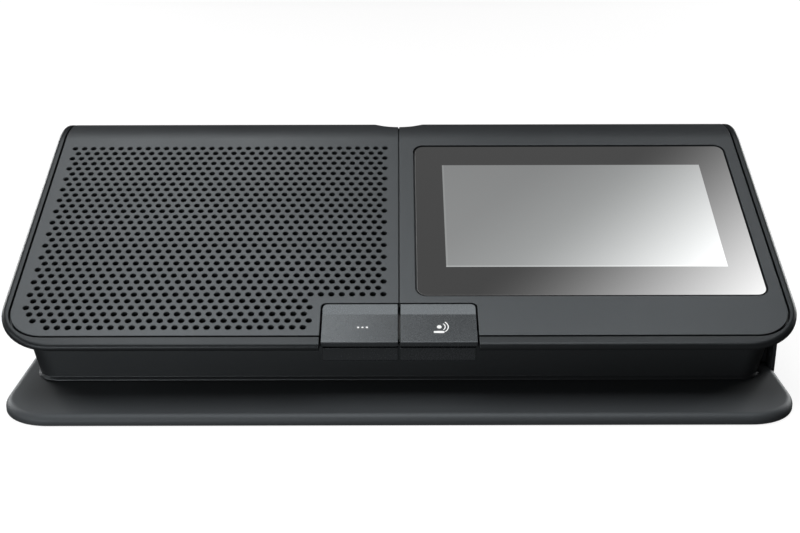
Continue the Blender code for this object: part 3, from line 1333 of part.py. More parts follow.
def build_electronics(unit, mats):
    finish(main_board(), mats["board"], unit)
    for name, x in zip(("chain_jack_in", "chain_jack_out"), jack_places()):
        if name == "chain_jack_in":
            first = finish(chain_jack(name), mats["socket"], unit, (x, NECK_REAR_Y, JACK_BOTTOM))
        else:
            copy_of(first, name, unit, (x, NECK_REAR_Y, JACK_BOTTOM))
    board_top = BOARD_Z + BOARD_THICKNESS + GAP
    panel_s = (DISPLAY_FROM_FRONT + DISPLAY_REAR) / 2
    x = (DISPLAY_LEFT + DISPLAY_RIGHT) / 2
    start = skin(panel_s, -GLASS_SINK - GLASS_THICKNESS - PANEL_THICKNESS - 2 * GAP)
    route = eased(start, (start[0] + PANEL_THICKNESS * 2, board_top), (start[1] - board_top) / 5)
    finish(ribbon("display_ribbon", route, RIBBON_WIDTH, x), mats["ribbon"], unit)
    finish(ribbon("key_ribbon", key_ribbon_route(board_top), KEY_RIBBON_WIDTH, 0), mats["ribbon"], unit)


def build_mic_socket(unit, mats):
    finish(mic_well_cup(), mats["socket"], unit, smooth=35)
    z = RIDGE_Z - WELL_DEPTH + WELL_CUP_FLOOR + GAP
    finish(mic_socket_insert(), mats["insert"], unit, (0, WELL_Y, z), smooth=35)
    board_top = BOARD_Z + BOARD_THICKNESS + GAP + LEAD_RADIUS
    start = (0, WELL_Y, z - GAP)
    points = [start, (0, WELL_Y - LEAD_RADIUS, start[2] - LEAD_RADIUS * 8),
              (0, WELL_Y - JACK_LENGTH, BOARD_Z + JACK_HEIGHT), (0, NECK_REAR_Y - JACK_LENGTH * 1.6, board_top)]
    finish(lead("mic_lead", points), mats["lead"], unit)
    sx, sy, sz = SPEAKER_X, *skin(SPEAKER_S, FLANGE_TOP - SPEAKER_DEPTH)
    start = sx + MAGNET_RADIUS + LEAD_RADIUS * 3
    end = BOARD_LEFT + BOARD_POST * 3
    middle = (start + end) / 2
    points = [(start, sy, sz), (middle, sy, sz - LEAD_RADIUS * 4),
              (end - LEAD_RADIUS, sy, BOARD_Z + JACK_HEIGHT / 2), (end, sy + LEAD_RADIUS * 4, board_top)]
    finish(lead("speaker_lead", points), mats["lead"], unit)


def build_side_pod(unit, mats):
    finish(side_pod(), mats["pod"], unit)
    finish(side_panel(), mats["ribbed"], unit)
    finish(side_board(), mats["board"], unit)
    finish(headphone_jack(), mats["socket"], unit, smooth=35)
    face_x = FRAME_HALF_WIDTH - BUTTON_SINK
    switch_x = SIDE_BOARD_X + SIDE_BOARD_THICKNESS + GAP
    for name, y in (("up", VOLUME_UP_Y), ("down", VOLUME_DOWN_Y)):
        guide = empty("volume_" + name + "_slide", unit, (face_x, y, SIDE_Z))
        if name == "up":
            button = finish(volume_button("volume_up"), mats["button"], guide)
            housing = finish(side_switch("volume_switch_up"), mats["switch"], unit, (switch_x, y, SIDE_Z))
        else:
            copy_of(button, "volume_down", guide)
            copy_of(housing, "volume_switch_down", unit, (switch_x, y, SIDE_Z))


def materials():
    return {
        "base": material("base_plastic", (0.030, 0.031, 0.033), 0.55),
        "shell": material("shell_plastic", (0.018, 0.019, 0.020), 0.55),
        "frame": material("frame_plastic", (0.040, 0.041, 0.043), 0.45),
        "grille": material("grille_plate", (0.048, 0.050, 0.053), 0.45),
        "bezel": material("bezel_plate", (0.040, 0.041, 0.044), 0.42),
        "cloth": material("acoustic_cloth", (0.008, 0.008, 0.009), 0.95),
        "glass": material("touch_glass", (0.045, 0.046, 0.048), 0.12),
        "panel": material("display_panel", (0.30, 0.31, 0.32), 0.30),
        "key_left": material("key_left_plastic", (0.052, 0.053, 0.056), 0.42),
        "key_right": material("key_right_plastic", (0.052, 0.053, 0.056), 0.42),
        "ribbed": material("ribbed_panel", (0.010, 0.010, 0.011), 0.50),
        "pod": material("pod_plastic", (0.012, 0.012, 0.013), 0.55),
        "button": material("button_plastic", (0.030, 0.030, 0.032), 0.45),
        "rubber": material("rubber", (0.015, 0.015, 0.016), 0.85),
        "foam": material("foam", (0.02, 0.02, 0.02), 0.95),
        "basket": material("basket_steel", (0.09, 0.09, 0.10), 0.50, 0.8),
        "steel": material("zinc_steel", (0.50, 0.51, 0.53), 0.35, 1.0),
        "sheet": material("bracket_steel", (0.45, 0.46, 0.47), 0.40, 1.0),
        "ferrite": material("ferrite", (0.05, 0.05, 0.05), 0.60),
        "paper": material("cone_paper", (0.03, 0.03, 0.03), 0.85),
        "spider": material("spider_cloth", (0.35, 0.24, 0.10), 0.85),
        "copper": material("coil_copper", (0.60, 0.27, 0.12), 0.35, 1.0),
        "board": material("circuit_board", (0.01, 0.09, 0.04), 0.45),
        "switch": material("switch_plastic", (0.02, 0.02, 0.02), 0.50),
        "socket": material("socket_plastic", (0.012, 0.012, 0.013), 0.45),
        "insert": material("contact_insert", (0.03, 0.03, 0.03), 0.50),
        "ribbon": material("ribbon_film", (0.45, 0.30, 0.10), 0.40),
        "lead": material("lead_jacket", (0.02, 0.02, 0.02), 0.60),
    }


def main():
    clear_scene()
    mats = materials()
    unit = empty("delegate_unit")
    slope = empty("slope_plane", unit, (0, SHEET_FRONT_Y, SHEET_FRONT_Z), (SLOPE, 0, 0))
    build_case(unit, slope, mats)
    build_display(slope, mats)
    build_keys(slope, mats)
    build_speaker(slope, mats)
    build_electronics(unit, mats)
    build_mic_socket(unit, mats)
    build_side_pod(unit, mats)


main()
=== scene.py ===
# %% [markdown]
# # A conference delegate unit
#
# A delegate unit stands in front of each person at a meeting. It is a flat, sloped box with a loudspeaker
# behind a drilled plate on the left, a touch display on the right, two keys at the front, and a round well
# in the rear ridge into which a gooseneck microphone is plugged.
#
# The CAD part is loaded first and stays as it is. It could be dressed with materials only, but its rolled
# sheets are made of broad facets and its plate has only every second hole. So the pieces that the eye rests
# on are modelled again here, over the CAD's own places, and the hidden ones keep their solids.

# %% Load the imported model
import json
from math import cos, hypot, pi, radians, sin

import bmesh
import bpy
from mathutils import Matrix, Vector

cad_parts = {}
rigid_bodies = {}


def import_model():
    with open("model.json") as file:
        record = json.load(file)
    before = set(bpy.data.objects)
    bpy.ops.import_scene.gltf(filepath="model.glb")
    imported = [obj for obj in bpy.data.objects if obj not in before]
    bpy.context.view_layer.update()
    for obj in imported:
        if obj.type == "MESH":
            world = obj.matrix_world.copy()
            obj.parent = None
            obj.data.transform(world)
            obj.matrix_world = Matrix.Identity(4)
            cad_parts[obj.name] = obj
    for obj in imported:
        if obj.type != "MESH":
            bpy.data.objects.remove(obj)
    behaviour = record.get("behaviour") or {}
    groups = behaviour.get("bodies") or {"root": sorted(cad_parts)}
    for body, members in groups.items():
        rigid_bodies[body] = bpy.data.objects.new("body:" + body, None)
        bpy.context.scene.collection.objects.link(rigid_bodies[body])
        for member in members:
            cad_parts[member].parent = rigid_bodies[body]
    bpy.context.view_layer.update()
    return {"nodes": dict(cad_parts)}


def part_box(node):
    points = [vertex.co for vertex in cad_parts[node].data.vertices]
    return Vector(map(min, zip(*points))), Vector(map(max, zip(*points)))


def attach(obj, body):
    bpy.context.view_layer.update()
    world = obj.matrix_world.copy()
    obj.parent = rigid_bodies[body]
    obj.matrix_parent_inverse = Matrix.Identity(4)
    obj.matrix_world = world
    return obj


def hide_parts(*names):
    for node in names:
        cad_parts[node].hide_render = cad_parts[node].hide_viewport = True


for leftover in list(bpy.data.objects):
    bpy.data.objects.remove(leftover)
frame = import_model()
nodes = frame["nodes"]

# %% [markdown]
# ## The camera
#
# The photograph looks down at the front of the unit from a little above it. A lens can be guessed and the
# camera pushed about until it looks right. Here the distance and pitch come from the spacing of the drilled
# rows instead: they crowd together towards the rear by an amount that only one distance gives.

# %% Camera
CAMERA_BACK = 0.4072
CAMERA_UP = 0.1743
CAMERA_PITCH = radians(19.8)
CAMERA_ROLL = radians(-0.12)
LENS_MM = 53.3
SIDE_SHIFT = 0.0012

tilt = pi / 2 - CAMERA_PITCH
turn = (tilt, -CAMERA_ROLL * sin(tilt), CAMERA_ROLL * cos(tilt))
bpy.ops.object.camera_add(location=(0, -CAMERA_BACK, CAMERA_UP), rotation=turn)
camera = bpy.context.object
camera.data.lens = LENS_MM
camera.data.shift_x = SIDE_SHIFT
camera.data.clip_start = 0.01
bpy.context.scene.camera = camera
print("camera", camera.data.lens, "mm,", round(hypot(CAMERA_BACK, CAMERA_UP), 3), "m away")

# %% [markdown]
# ## Materials as sums
#
# A material's pattern is a sum of small rules: a noise here, a stripe there, one minus a mask. The nodes
# could be placed and joined one by one, which takes five lines for each sign. A small class that lets
# Python's own signs add the Math nodes keeps each rule on one line, as it would be written on paper.

# %% Shader maths
class Wire:
    """A node's output, which Python's signs can reckon with."""

    def __init__(self, finish, socket):
        self.finish, self.socket = finish, socket

    def out(self, name):
        return Wire(self.finish, self.socket.node.outputs[name])

    def sum(self, operation, *values):
        return self.finish.node("ShaderNodeMath", {"operation": operation}, dict(enumerate(values)))

    def wave(self, length):
        """A sine from -1 to 1 that repeats after length metres."""
        return self.sum("SINE", self * (2 * pi / length))

    def __add__(self, other):
        return self.sum("ADD", self, other)

    def __sub__(self, other):
        return self.sum("SUBTRACT", self, other)

    def __rsub__(self, other):
        return self.sum("SUBTRACT", other, self)

    def __mul__(self, other):
        return self.sum("MULTIPLY", self, other)

    def __truediv__(self, other):
        return self.sum("DIVIDE", self, other)

    def __pow__(self, other):
        return self.sum("POWER", self, other)

    def __lt__(self, other):
        return self.sum("LESS_THAN", self, other)

    def __gt__(self, other):
        return self.sum("GREATER_THAN", self, other)

    def __mod__(self, other):
        return self.sum("FLOORED_MODULO", self, other)

    __radd__ = __add__
    __rmul__ = __mul__


# %% One class for every finish
class Finish:
    """A material, with one method that adds any node to it."""

    def __init__(self, name, **fixed):
        self.material = bpy.data.materials.new(name)
        self.material.use_nodes = True
        self.tree = self.material.node_tree
        self.shader = self.tree.nodes["Principled BSDF"]
        for socket, value in fixed.items():
            self.feed(self.shader.inputs[socket.replace("_", " ")], value)

    def feed(self, socket, value):
        if isinstance(value, Wire):
            self.tree.links.new(value.socket, socket)
        else:
            socket.default_value = value

    def node(self, kind, settings=None, inputs=None, output=0):
        added = self.tree.nodes.new(kind)
        for name, value in (settings or {}).items():
            if name == "stops":
                for index, (at, colour) in enumerate(value):
                    stops = added.color_ramp.elements
                    stop = stops[index] if index < len(stops) else stops.new(at)
                    stop.position, stop.color = at, colour
            else:
                setattr(added, name, value)
        for name, value in (inputs or {}).items():
            self.feed(added.inputs[name], value)
        return Wire(self, added.outputs[output])

    def place(self):
        return self.node("ShaderNodeTexCoord", output="Object")

    def axes(self, place):
        split = self.node("ShaderNodeSeparateXYZ", None, {"Vector": place})
        return split.out("X"), split.out("Y"), split.out("Z")

    def noise(self, place, size, detail=2.0):
        """Noise from 0 to 1 whose lumps are about size metres across."""
        return self.node("ShaderNodeTexNoise", None, {"Vector": place, "Scale": 1 / size, "Detail": detail})

    def mix(self, share, low, high):
        colours = {0: share, 6: low, 7: high}
        return self.node("ShaderNodeMix", {"data_type": "RGBA"}, colours, output=2)

    def colour(self, value):
        self.feed(self.shader.inputs["Base Color"], value)

    def roughness(self, value):
        self.feed(self.shader.inputs["Roughness"], value)

    def bump(self, height, depth, before=None):
        """Raise the surface by height (0 to 1) times depth in metres."""
        inputs = {"Height": height, "Distance": depth, "Strength": 1.0}
        if before:
            inputs["Normal"] = before
        normal = self.node("ShaderNodeBump", None, inputs)
        self.feed(self.shader.inputs["Normal"], normal)
        return normal


def grey(level, warm=0.0):
    return (level * (1 + warm), level, level * (1 - warm), 1.0)


def grained(name, low, high, size, roughness, depth=0.00003, swing=0.2, detail=4.0, **fixed):
    """A finish that wavers between two colours and in its roughness, with a grain of one size."""
    finish = Finish(name, **fixed)
    grain = finish.noise(finish.place(), size, detail)
    finish.colour(finish.mix(grain, low, high))
    finish.roughness(roughness + (grain - 0.5) * swing)
    finish.bump(grain, depth)
    return finish


# %% [markdown]
# ## Floor, lamps and the white around it
#
# The photograph is cut out on white: there is no floor to see, only a thin dark line where the base stands.
# More light on the floor would bleach it, but it would also light the unit from below. So the floor is
# an ordinary matt grey one for the light that bounces, and glows white for the camera's own rays. Where
# something keeps the lamps from it, that glow is a little less, and this is the shadow that stays. The
# unit's dark walls mirror the floor: a little paper shows in them in front, and next to nothing behind.
#
# The large lamp above and the one at the rear left draw the slopes of the top. The low one in front draws the
# thin bright line of the body's flange, the one at the left draws the flank, and the pair behind is there for
# whoever walks round the unit: without it the back would be black.

# %% Stage
FLOOR_SIZE = 12.0
FLOOR_GREY = 0.22
FLOOR_MIRRORED = 0.015
FLOOR_GLOW = 0.84
FRONT_GLOW = 0.20
FRONT_EDGE = -0.08


def white_for_camera(finish, lit, glow):
    """Add a glow to a surface that only the camera sees, straight or through something clear."""
    path = finish.node("ShaderNodeLightPath")
    seen = path.out("Is Camera Ray") + path.out("Is Transmission Ray")
    shine = finish.node("ShaderNodeEmission", None, {"Strength": seen * glow})
    return finish.node("ShaderNodeAddShader", None, {0: lit, 1: shine})


bpy.ops.mesh.primitive_plane_add(size=FLOOR_SIZE, location=(0, 0, 0))
floor = bpy.context.object
floor.name = "floor"
floor_finish = Finish("floor_paper")
mirrored = floor_finish.node("ShaderNodeLightPath").out("Is Glossy Ray")
in_front = floor_finish.axes(floor_finish.place())[1] < FRONT_EDGE
paper = floor_finish.mix(mirrored, grey(FLOOR_GREY), grey(FLOOR_MIRRORED))
floor_lit = floor_finish.node("ShaderNodeBsdfDiffuse", None, {"Color": paper})
front_shine = floor_finish.node("ShaderNodeEmission", None, {"Strength": mirrored * in_front * FRONT_GLOW})
floor_lit = floor_finish.node("ShaderNodeAddShader", None, {0: floor_lit, 1: front_shine})
floor_seen = white_for_camera(floor_finish, floor_lit, FLOOR_GLOW)
output = floor_finish.tree.nodes["Material Output"]
floor_finish.feed(output.inputs["Surface"], floor_seen)
floor.data.materials.append(floor_finish.material)
print("floor", FLOOR_SIZE, "m wide")

# %% World
WORLD_GREY = 0.012

world = bpy.data.worlds.new("studio_white")
world.use_nodes = True
bpy.context.scene.world = world
tree = world.node_tree
path = tree.nodes.new("ShaderNodeLightPath")
choice = tree.nodes.new("ShaderNodeMixShader")
backdrop = tree.nodes.new("ShaderNodeBackground")
backdrop.inputs["Color"].default_value = grey(1.0)
around = tree.nodes["Background"]
around.inputs["Color"].default_value = grey(1.0)
around.inputs["Strength"].default_value = WORLD_GREY
tree.links.new(path.outputs["Is Camera Ray"], choice.inputs["Fac"])
tree.links.new(around.outputs[0], choice.inputs[1])
tree.links.new(backdrop.outputs[0], choice.inputs[2])
tree.links.new(choice.outputs[0], tree.nodes["World Output"].inputs["Surface"])
bpy.context.scene.view_settings.view_transform = "Standard"


# %% Lamps
def lamp(name, place, size, radiance, aim=(0, 0, 0.03)):
    """A rectangular soft lamp of a given brightness that looks at a point of the unit."""
    bpy.ops.object.light_add(type="AREA", location=place)
    light = bpy.context.object
    light.name = name
    light.data.shape = "RECTANGLE"
    light.data.size, light.data.size_y = size
    light.data.energy = radiance * pi * size[0] * size[1]
    light.rotation_euler = (Vector(aim) - Vector(place)).to_track_quat("-Z", "Y").to_euler()
    return light


lamps = [
    lamp("lamp_above", (-0.035, -0.140, 0.55), (0.62, 0.36), 4.6, aim=(-0.035, -0.139, 0)),
    lamp("lamp_rear_left", (-0.29, 0.43, 1.15), (0.5, 0.5), 5.0),
    lamp("lamp_low_front", (-0.30, -0.50, 0.07), (0.5, 0.12), 7.5, aim=(-0.02, -0.06, 0.01)),
    lamp("lamp_side_left", (-1.3, -0.4, 0.5), (0.5, 0.5), 3.0),
    lamp("lamp_behind_left", (-1.0, 0.9, 0.30), (0.6, 0.5), 9.0),
    lamp("lamp_behind_right", (1.0, 0.9, 0.30), (0.6, 0.5), 9.0),
]
print(len(lamps), "lamps, world at", WORLD_GREY)

# %% [markdown]
# ## The card that the display reflects
#
# Half of what makes the photograph is the sweep of light over the glass, dark at the left and nearly white
# at the lower right. On the glass it is no paint: it is a bright card hanging above and behind the unit,
# mirrored in the glass. Over the display a painted reflection in the display's glow adds to it. A lamp
# would do, but it would have a hard rim. A card whose glow fades across it gives the sweep.
# Only a mirrored ray sees it, because its light would wash out the matt surfaces.

# %% Reflection card
CARD_HEIGHT = 0.65
CARD_LOW = Vector((-0.02, 0.14, CARD_HEIGHT))
CARD_HIGH = Vector((0.36, 0.37, CARD_HEIGHT))
CARD_DARK = 0.49
CARD_BRIGHT = 8.4
CARD_BEND = 1.85
CARD_SWEEP_START = Vector((0.199, 0.306))
CARD_SWEEP_END = Vector((0.319, 0.170))


def sweep_share(x, y):
    """How far along the sweep a point of the card lies, 0 at its start and 1 at its end."""
    run = CARD_SWEEP_END - CARD_SWEEP_START
    along = (x - CARD_SWEEP_START.x) * run.x + (y - CARD_SWEEP_START.y) * run.y
    return along / run.length_squared


card_middle = (CARD_LOW + CARD_HIGH) / 2
bpy.ops.mesh.primitive_plane_add(size=1, location=card_middle, rotation=(pi, 0, 0))
card = bpy.context.object
card.name = "reflection_card"
card.scale = (CARD_HIGH.x - CARD_LOW.x, CARD_HIGH.y - CARD_LOW.y, 1)
bpy.ops.object.transform_apply(location=True, rotation=True, scale=True)
card_finish = Finish("card_glow")
card_x, card_y, _ = card_finish.axes(card_finish.place())
share = sweep_share(card_x, card_y)
share = card_finish.node("ShaderNodeClamp", None, {"Value": share})
glow = CARD_DARK + (share ** CARD_BEND) * (CARD_BRIGHT - CARD_DARK)
path = card_finish.node("ShaderNodeLightPath")
only_mirrored = path.out("Is Glossy Ray")
shine = card_finish.node("ShaderNodeEmission", None, {"Strength": glow * only_mirrored})
clear = card_finish.node("ShaderNodeBsdfTransparent")
card_shader = card_finish.node("ShaderNodeMixShader", None, {0: only_mirrored, 1: clear, 2: shine})
card_finish.feed(card_finish.tree.nodes["Material Output"].inputs["Surface"], card_shader)
card.data.materials.append(card_finish.material)
print("card at", round(CARD_HEIGHT, 2), "m")

# %% [markdown]
# ## Working on a mesh by hand, in code
#
# Modelling by hand is: look, pick some faces, act on them. A script cannot look, so it picks faces and
# edges by where they are and which way they face. These helpers do the picking, and the rest of the script
# reads like a list of the same steps that a person would take in Edit Mode.

# %% Helpers for picking and shaping
SHARP = radians(35)
FACING = 0.99
PARALLEL = 0.999
UP = Vector((0, 0, 1))
REARWARDS = Vector((0, 1, 0))


def only(piece):
    """Make a piece the one that the next operator works on."""
    bpy.ops.object.select_all(action="DESELECT")
    piece.select_set(True)
    bpy.context.view_layer.objects.active = piece


def edit(piece):
    only(piece)
    bpy.ops.object.mode_set(mode="EDIT")


def done():
    bpy.ops.object.mode_set(mode="OBJECT")


def pick_faces(piece, test):
    """Select the faces whose middle and normal pass the test."""
    bpy.ops.mesh.select_mode(type="FACE")
    bpy.ops.mesh.select_all(action="DESELECT")
    mesh = bmesh.from_edit_mesh(piece.data)
    mesh.normal_update()
    for face in mesh.faces:
        face.select_set(bool(test(face.calc_center_median(), face.normal)))
    bmesh.update_edit_mesh(piece.data)


def facing(direction):
    """A test for pick_faces that passes the faces that look in a direction."""
    return lambda middle, normal: normal.dot(direction) > FACING


def pick_points(piece, test):
    """Select the vertices whose place passes the test."""
    bpy.ops.mesh.select_mode(type="VERT")
    bpy.ops.mesh.select_all(action="DESELECT")
    mesh = bmesh.from_edit_mesh(piece.data)
    for vert in mesh.verts:
        vert.select_set(bool(test(vert.co)))
    bmesh.update_edit_mesh(piece.data)


def pick_edges(piece, test):
    """Select the edges whose middle and direction pass the test."""
    bpy.ops.mesh.select_mode(type="EDGE")
    bpy.ops.mesh.select_all(action="DESELECT")
    mesh = bmesh.from_edit_mesh(piece.data)
    for edge in mesh.edges:
        low, high = edge.verts[0].co, edge.verts[1].co
        edge.select_set(bool(test((low + high) / 2, (high - low).normalized())))
    bmesh.update_edit_mesh(piece.data)


def runs(direction, axis):
    return abs(direction.dot(axis)) > PARALLEL


def round_edges(piece, test, radius, segments):
    """Round the edges that pass the test, as Bevel in Edit Mode does."""
    edit(piece)
    pick_edges(piece, test)
    bpy.ops.mesh.bevel(offset=radius, segments=segments, affect="EDGES", clamp_overlap=False)
    done()


def pull(move):
    """Extrude what is selected and move it, as Extrude in Edit Mode does."""
    bpy.ops.mesh.extrude_region_move(TRANSFORM_OT_translate={"value": move})


def widen(scale, centre=(0, 0, 0)):
    """Scale what is selected in x and y about a centre."""
    bpy.ops.transform.resize(value=(scale, scale, 1), center_override=centre)


def apply(piece, kind, **settings):
    """Add one modifier and apply it."""
    only(piece)
    modifier = piece.modifiers.new(kind.title(), kind)
    for name, value in settings.items():
        setattr(modifier, name, value)
    bpy.ops.object.modifier_apply(modifier=modifier.name)


def cut(piece, *cutters, operation="DIFFERENCE"):
    """Cut a piece with others, which are used up."""
    for cutter in cutters:
        apply(piece, "BOOLEAN", object=cutter, operation=operation, solver="EXACT")
        bpy.data.objects.remove(cutter)


def repeat(piece, count, step):
    """Repeat a piece in a row, as the Array modifier does."""
    apply(piece, "ARRAY", count=count, use_relative_offset=False, use_constant_offset=True,
          constant_offset_displace=step)


def join_all(name, pieces):
    """Join pieces to the first of them."""
    only(pieces[0])
    for other in pieces[1:]:
        other.select_set(True)
    bpy.ops.object.join()
    pieces[0].name = pieces[0].data.name = name
    return pieces[0]


def ease(piece, width, segments=2, sharp=SHARP):
    """Take the sharpness off every crease, as moulded and pressed parts have it."""
    apply(piece, "BEVEL", width=width, segments=segments, limit_method="ANGLE", angle_limit=sharp,
          use_clamp_overlap=False)
    smooth(piece, sharp)


def smooth(piece, sharp=SHARP):
    """Shade the eased edges round and keep the large flat faces flat, so that they mirror truly."""
    only(piece)
    bpy.ops.object.shade_smooth_by_angle(angle=sharp)
    apply(piece, "WEIGHTED_NORMAL", weight=100, keep_sharp=True)


def triangles(piece):
    return sum(len(face.vertices) - 2 for face in piece.data.polygons)


def place_on(piece, finish, body, slot, *replaced):
    """Give a finished piece its material, the body it rides on, and the CAD nodes that it stands for."""
    piece.data.materials.clear()
    piece.data.materials.append(finish.material)
    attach(piece, body)
    if replaced:
        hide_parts(*replaced)
    print(piece.name, triangles(piece), "triangles, rides on", body)


# %% [markdown]
# ## The sheet that the top follows
#
# Frame, plates, glass and keys all lie on one sheet: it climbs at a steady slope and rolls over the rear
# ridge. Each could be modelled in the world's own axes, but then every place would need its own sine and
# cosine. Instead a place is given by x across, s along the sheet from the plates' front edge, and n
# outwards, and one function turns that into the world. Slope, roll and thickness are those of the CAD, and
# where the sheet starts comes out of the CAD's boxes.

# %% The sheet, measured on the CAD
SLOPE = radians(24.3)
ROLL = 0.027
PLATE = 0.0018
ALONG = Vector((0, cos(SLOPE), sin(SLOPE)))
OUT = Vector((0, -sin(SLOPE), cos(SLOPE)))
ACROSS = Vector((1, 0, 0))

frame_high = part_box("top_frame")[1]
plate_low, plate_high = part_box("bezel_plate")
sheet_front = Vector((0, plate_low.y, plate_low.z + PLATE * cos(SLOPE)))
roll_y = frame_high.y - ROLL
flat_length = (roll_y - ROLL * sin(SLOPE) - sheet_front.y) / cos(SLOPE)
roll_z = sheet_front.z + flat_length * sin(SLOPE) - ROLL * cos(SLOPE)


def on_sheet(x, s, n=0.0):
    """World place of a point on the flat part of the sheet."""
    return sheet_front + ACROSS * x + ALONG * s + OUT * n


def off_sheet(place):
    """The x, s and n of a world place."""
    reach = place - sheet_front
    return Vector((place.x, reach.dot(ALONG), reach.dot(OUT)))


def sheet_box(name):
    """Lowest and highest x, s and n of a CAD node."""
    places = [off_sheet(vert.co) for vert in nodes[name].data.vertices]
    return Vector(map(min, zip(*places))), Vector(map(max, zip(*places)))


# %% Blocks and cylinders that lie on the sheet or stand upright
# PROUD and FAR say how far a cutter reaches past what it cuts, and TINY is what two places may differ by.
PROUD = 0.004
FAR = 0.02
TINY = 0.00005
ROLL_STEPS = 24


def settle(name=None):
    """Write the active object's place, turn and scale into its mesh, and name it."""
    bpy.ops.object.transform_apply(location=True, rotation=True, scale=True)
    piece = bpy.context.object
    if name:
        piece.name = piece.data.name = name
    return piece


def cube(name, middle, limits, lean):
    """A cube about a middle, whose sides are as long as the three pairs of limits are apart."""
    size = [high - low for low, high in limits]
    bpy.ops.mesh.primitive_cube_add(size=1, location=middle, rotation=(lean, 0, 0), scale=size)
    return settle(name)


def block(name, x, s, n):
    """A cube between the limits x, s and n, turned to lie on the sheet."""
    return cube(name, on_sheet(sum(x) / 2, sum(s) / 2, sum(n) / 2), (x, s, n), SLOPE)


def upright(name, x, y, z):
    """A cube between the limits x, y and z, square to the table."""
    return cube(name, (sum(x) / 2, sum(y) / 2, sum(z) / 2), (x, y, z), 0)


def cylinder(name, middle, ends, radius, sides, turn=(0, 0, 0)):
    """A cylinder about a middle, as long as its two ends are apart."""
    bpy.ops.mesh.primitive_cylinder_add(vertices=sides, radius=radius, depth=ends[1] - ends[0],
                                        location=middle, rotation=turn)
    return settle(name)


def peg(name, x, y, z, radius, sides=24):
    """An upright cylinder between two heights."""
    return cylinder(name, (x, y, sum(z) / 2), z, radius, sides)


def stud(name, x, s, n, radius, sides):
    """A cylinder between two limits of n, square to the sheet."""
    return cylinder(name, on_sheet(x, s, sum(n) / 2), n, radius, sides, (SLOPE, 0, 0))


def lean_on_sheet(place):
    """Tip what is selected from upright to the sheet's slope, and move it to a place."""
    # The operator counts its angle the other way round from an object's own rotation.
    bpy.ops.transform.rotate(value=-SLOPE, orient_axis="X", center_override=(0, 0, 0))
    bpy.ops.transform.translate(value=place)


def rolled(name, x, s, n, turn):
    """A slab on the sheet whose rear face is spun over the ridge by turn."""
    piece = block(name, x, (s, flat_length), n)
    edit(piece)
    pick_faces(piece, facing(ALONG))
    bpy.ops.mesh.spin(steps=ROLL_STEPS, angle=turn, center=(0, roll_y, roll_z), axis=(1, 0, 0))
    done()
    return piece


def last_face(turn):
    """The way that the end of a sheet points after it has been spun by turn."""
    return Vector((0, cos(SLOPE - turn), sin(SLOPE - turn)))


# %% [markdown]
# ## The top frame
#
# The frame is one plastic moulding, 5.5 mm thick, whose nose is thinned to 2.2 mm so that it seems to float
# over the body, and whose upper edge falls away in a wide round. The whole outline could be drawn and lofted,
# as the CAD does. By hand it is quicker the other way round: a thin slab is spun over the ridge and pulled
# down at the back, its corners and nose are rounded, and its underside is inset and pushed inwards, which
# gives the undercut on all sides at once.

# %% Frame blank
NOSE = 0.0022
UNDERCUT = 0.0050
FRAME_THICK = 0.0055
NOSE_ROUND = 0.0017
NOSE_UNDER_ROUND = 0.00035
RIM_SPARE = 0.0007
FRONT_RIM = 0.0048
FRAME_CORNER = 0.0188
FRAME_REAR_CORNER = 0.0060
REAR_BAND = 0.0133
half_width = frame_high.x + RIM_SPARE
band_end = roll_z - REAR_BAND
full_turn = SLOPE + pi / 2

top = rolled("top_frame_skin", (-half_width, half_width), -FRONT_RIM, (-NOSE, 0), full_turn)
edit(top)
pick_faces(top, lambda middle, normal: normal.z < -FACING and middle.z < roll_z + TINY)
pull((0, 0, -REAR_BAND))
done()
round_edges(top, lambda m, d: runs(d, OUT) and m.y < 0, FRAME_CORNER, segments=14)
round_edges(top, lambda m, d: runs(d, REARWARDS) and m.z < band_end + TINY, FRAME_REAR_CORNER, segments=8)
print("frame blank", triangles(top), "triangles")

# %% Round its nose and push in its underside
RIM_ANGLE = radians(50)
LEVEL_ACROSS = 0.05
FRAME_EASE = 0.0002


def outwards(middle):
    """The way out of the sheet at a place: up the slope, round the ridge, or to the rear."""
    if middle.z < roll_z and middle.y > roll_y:
        return REARWARDS
    reach = Vector((0, middle.y - roll_y, middle.z - roll_z))
    return OUT if reach.dot(ALONG) < 0 else reach.normalized()


def upper_outline(piece):
    """Select the sharp edges between the sheet's upper side and its flanks."""
    bpy.ops.mesh.select_all(action="DESELECT")
    mesh = bmesh.from_edit_mesh(piece.data)
    mesh.normal_update()
    for edge in mesh.edges:
        upper = any(face.normal.dot(outwards(face.calc_center_median())) > FACING for face in edge.link_faces)
        edge.select_set(upper and edge.calc_face_angle(0) > RIM_ANGLE)
    bmesh.update_edit_mesh(piece.data)


def looks_inwards(middle, normal):
    """True for a face of the sheet's underside."""
    return abs(normal.x) < LEVEL_ACROSS and normal.dot(outwards(middle)) < -FACING


edit(top)
bpy.ops.mesh.select_mode(type="EDGE")
upper_outline(top)
bpy.ops.mesh.bevel(offset=NOSE_ROUND, segments=6, affect="EDGES", clamp_overlap=False)
bpy.ops.mesh.select_all(action="DESELECT")
bpy.ops.mesh.edges_select_sharp(sharpness=RIM_ANGLE)
bpy.ops.mesh.bevel(offset=NOSE_UNDER_ROUND, segments=2, affect="EDGES", clamp_overlap=False)
pick_faces(top, looks_inwards)
bpy.ops.mesh.inset(thickness=UNDERCUT - NOSE_UNDER_ROUND, depth=FRAME_THICK - NOSE, use_even_offset=True)
done()
print("frame with undercut", triangles(top), "triangles")

# %% [markdown]
# ## Seats cut into the frame
#
# The two cover plates lie in a shallow seat, so that a thin dark groove runs round them. The cloth behind
# the drilled plate has a deeper pocket, the display has an opening, and the keys have a notch in the front
# edge. The plates' seat is a slab spun over the ridge like the frame, the others are blocks, and each is a
# little larger than the piece that lies in it.

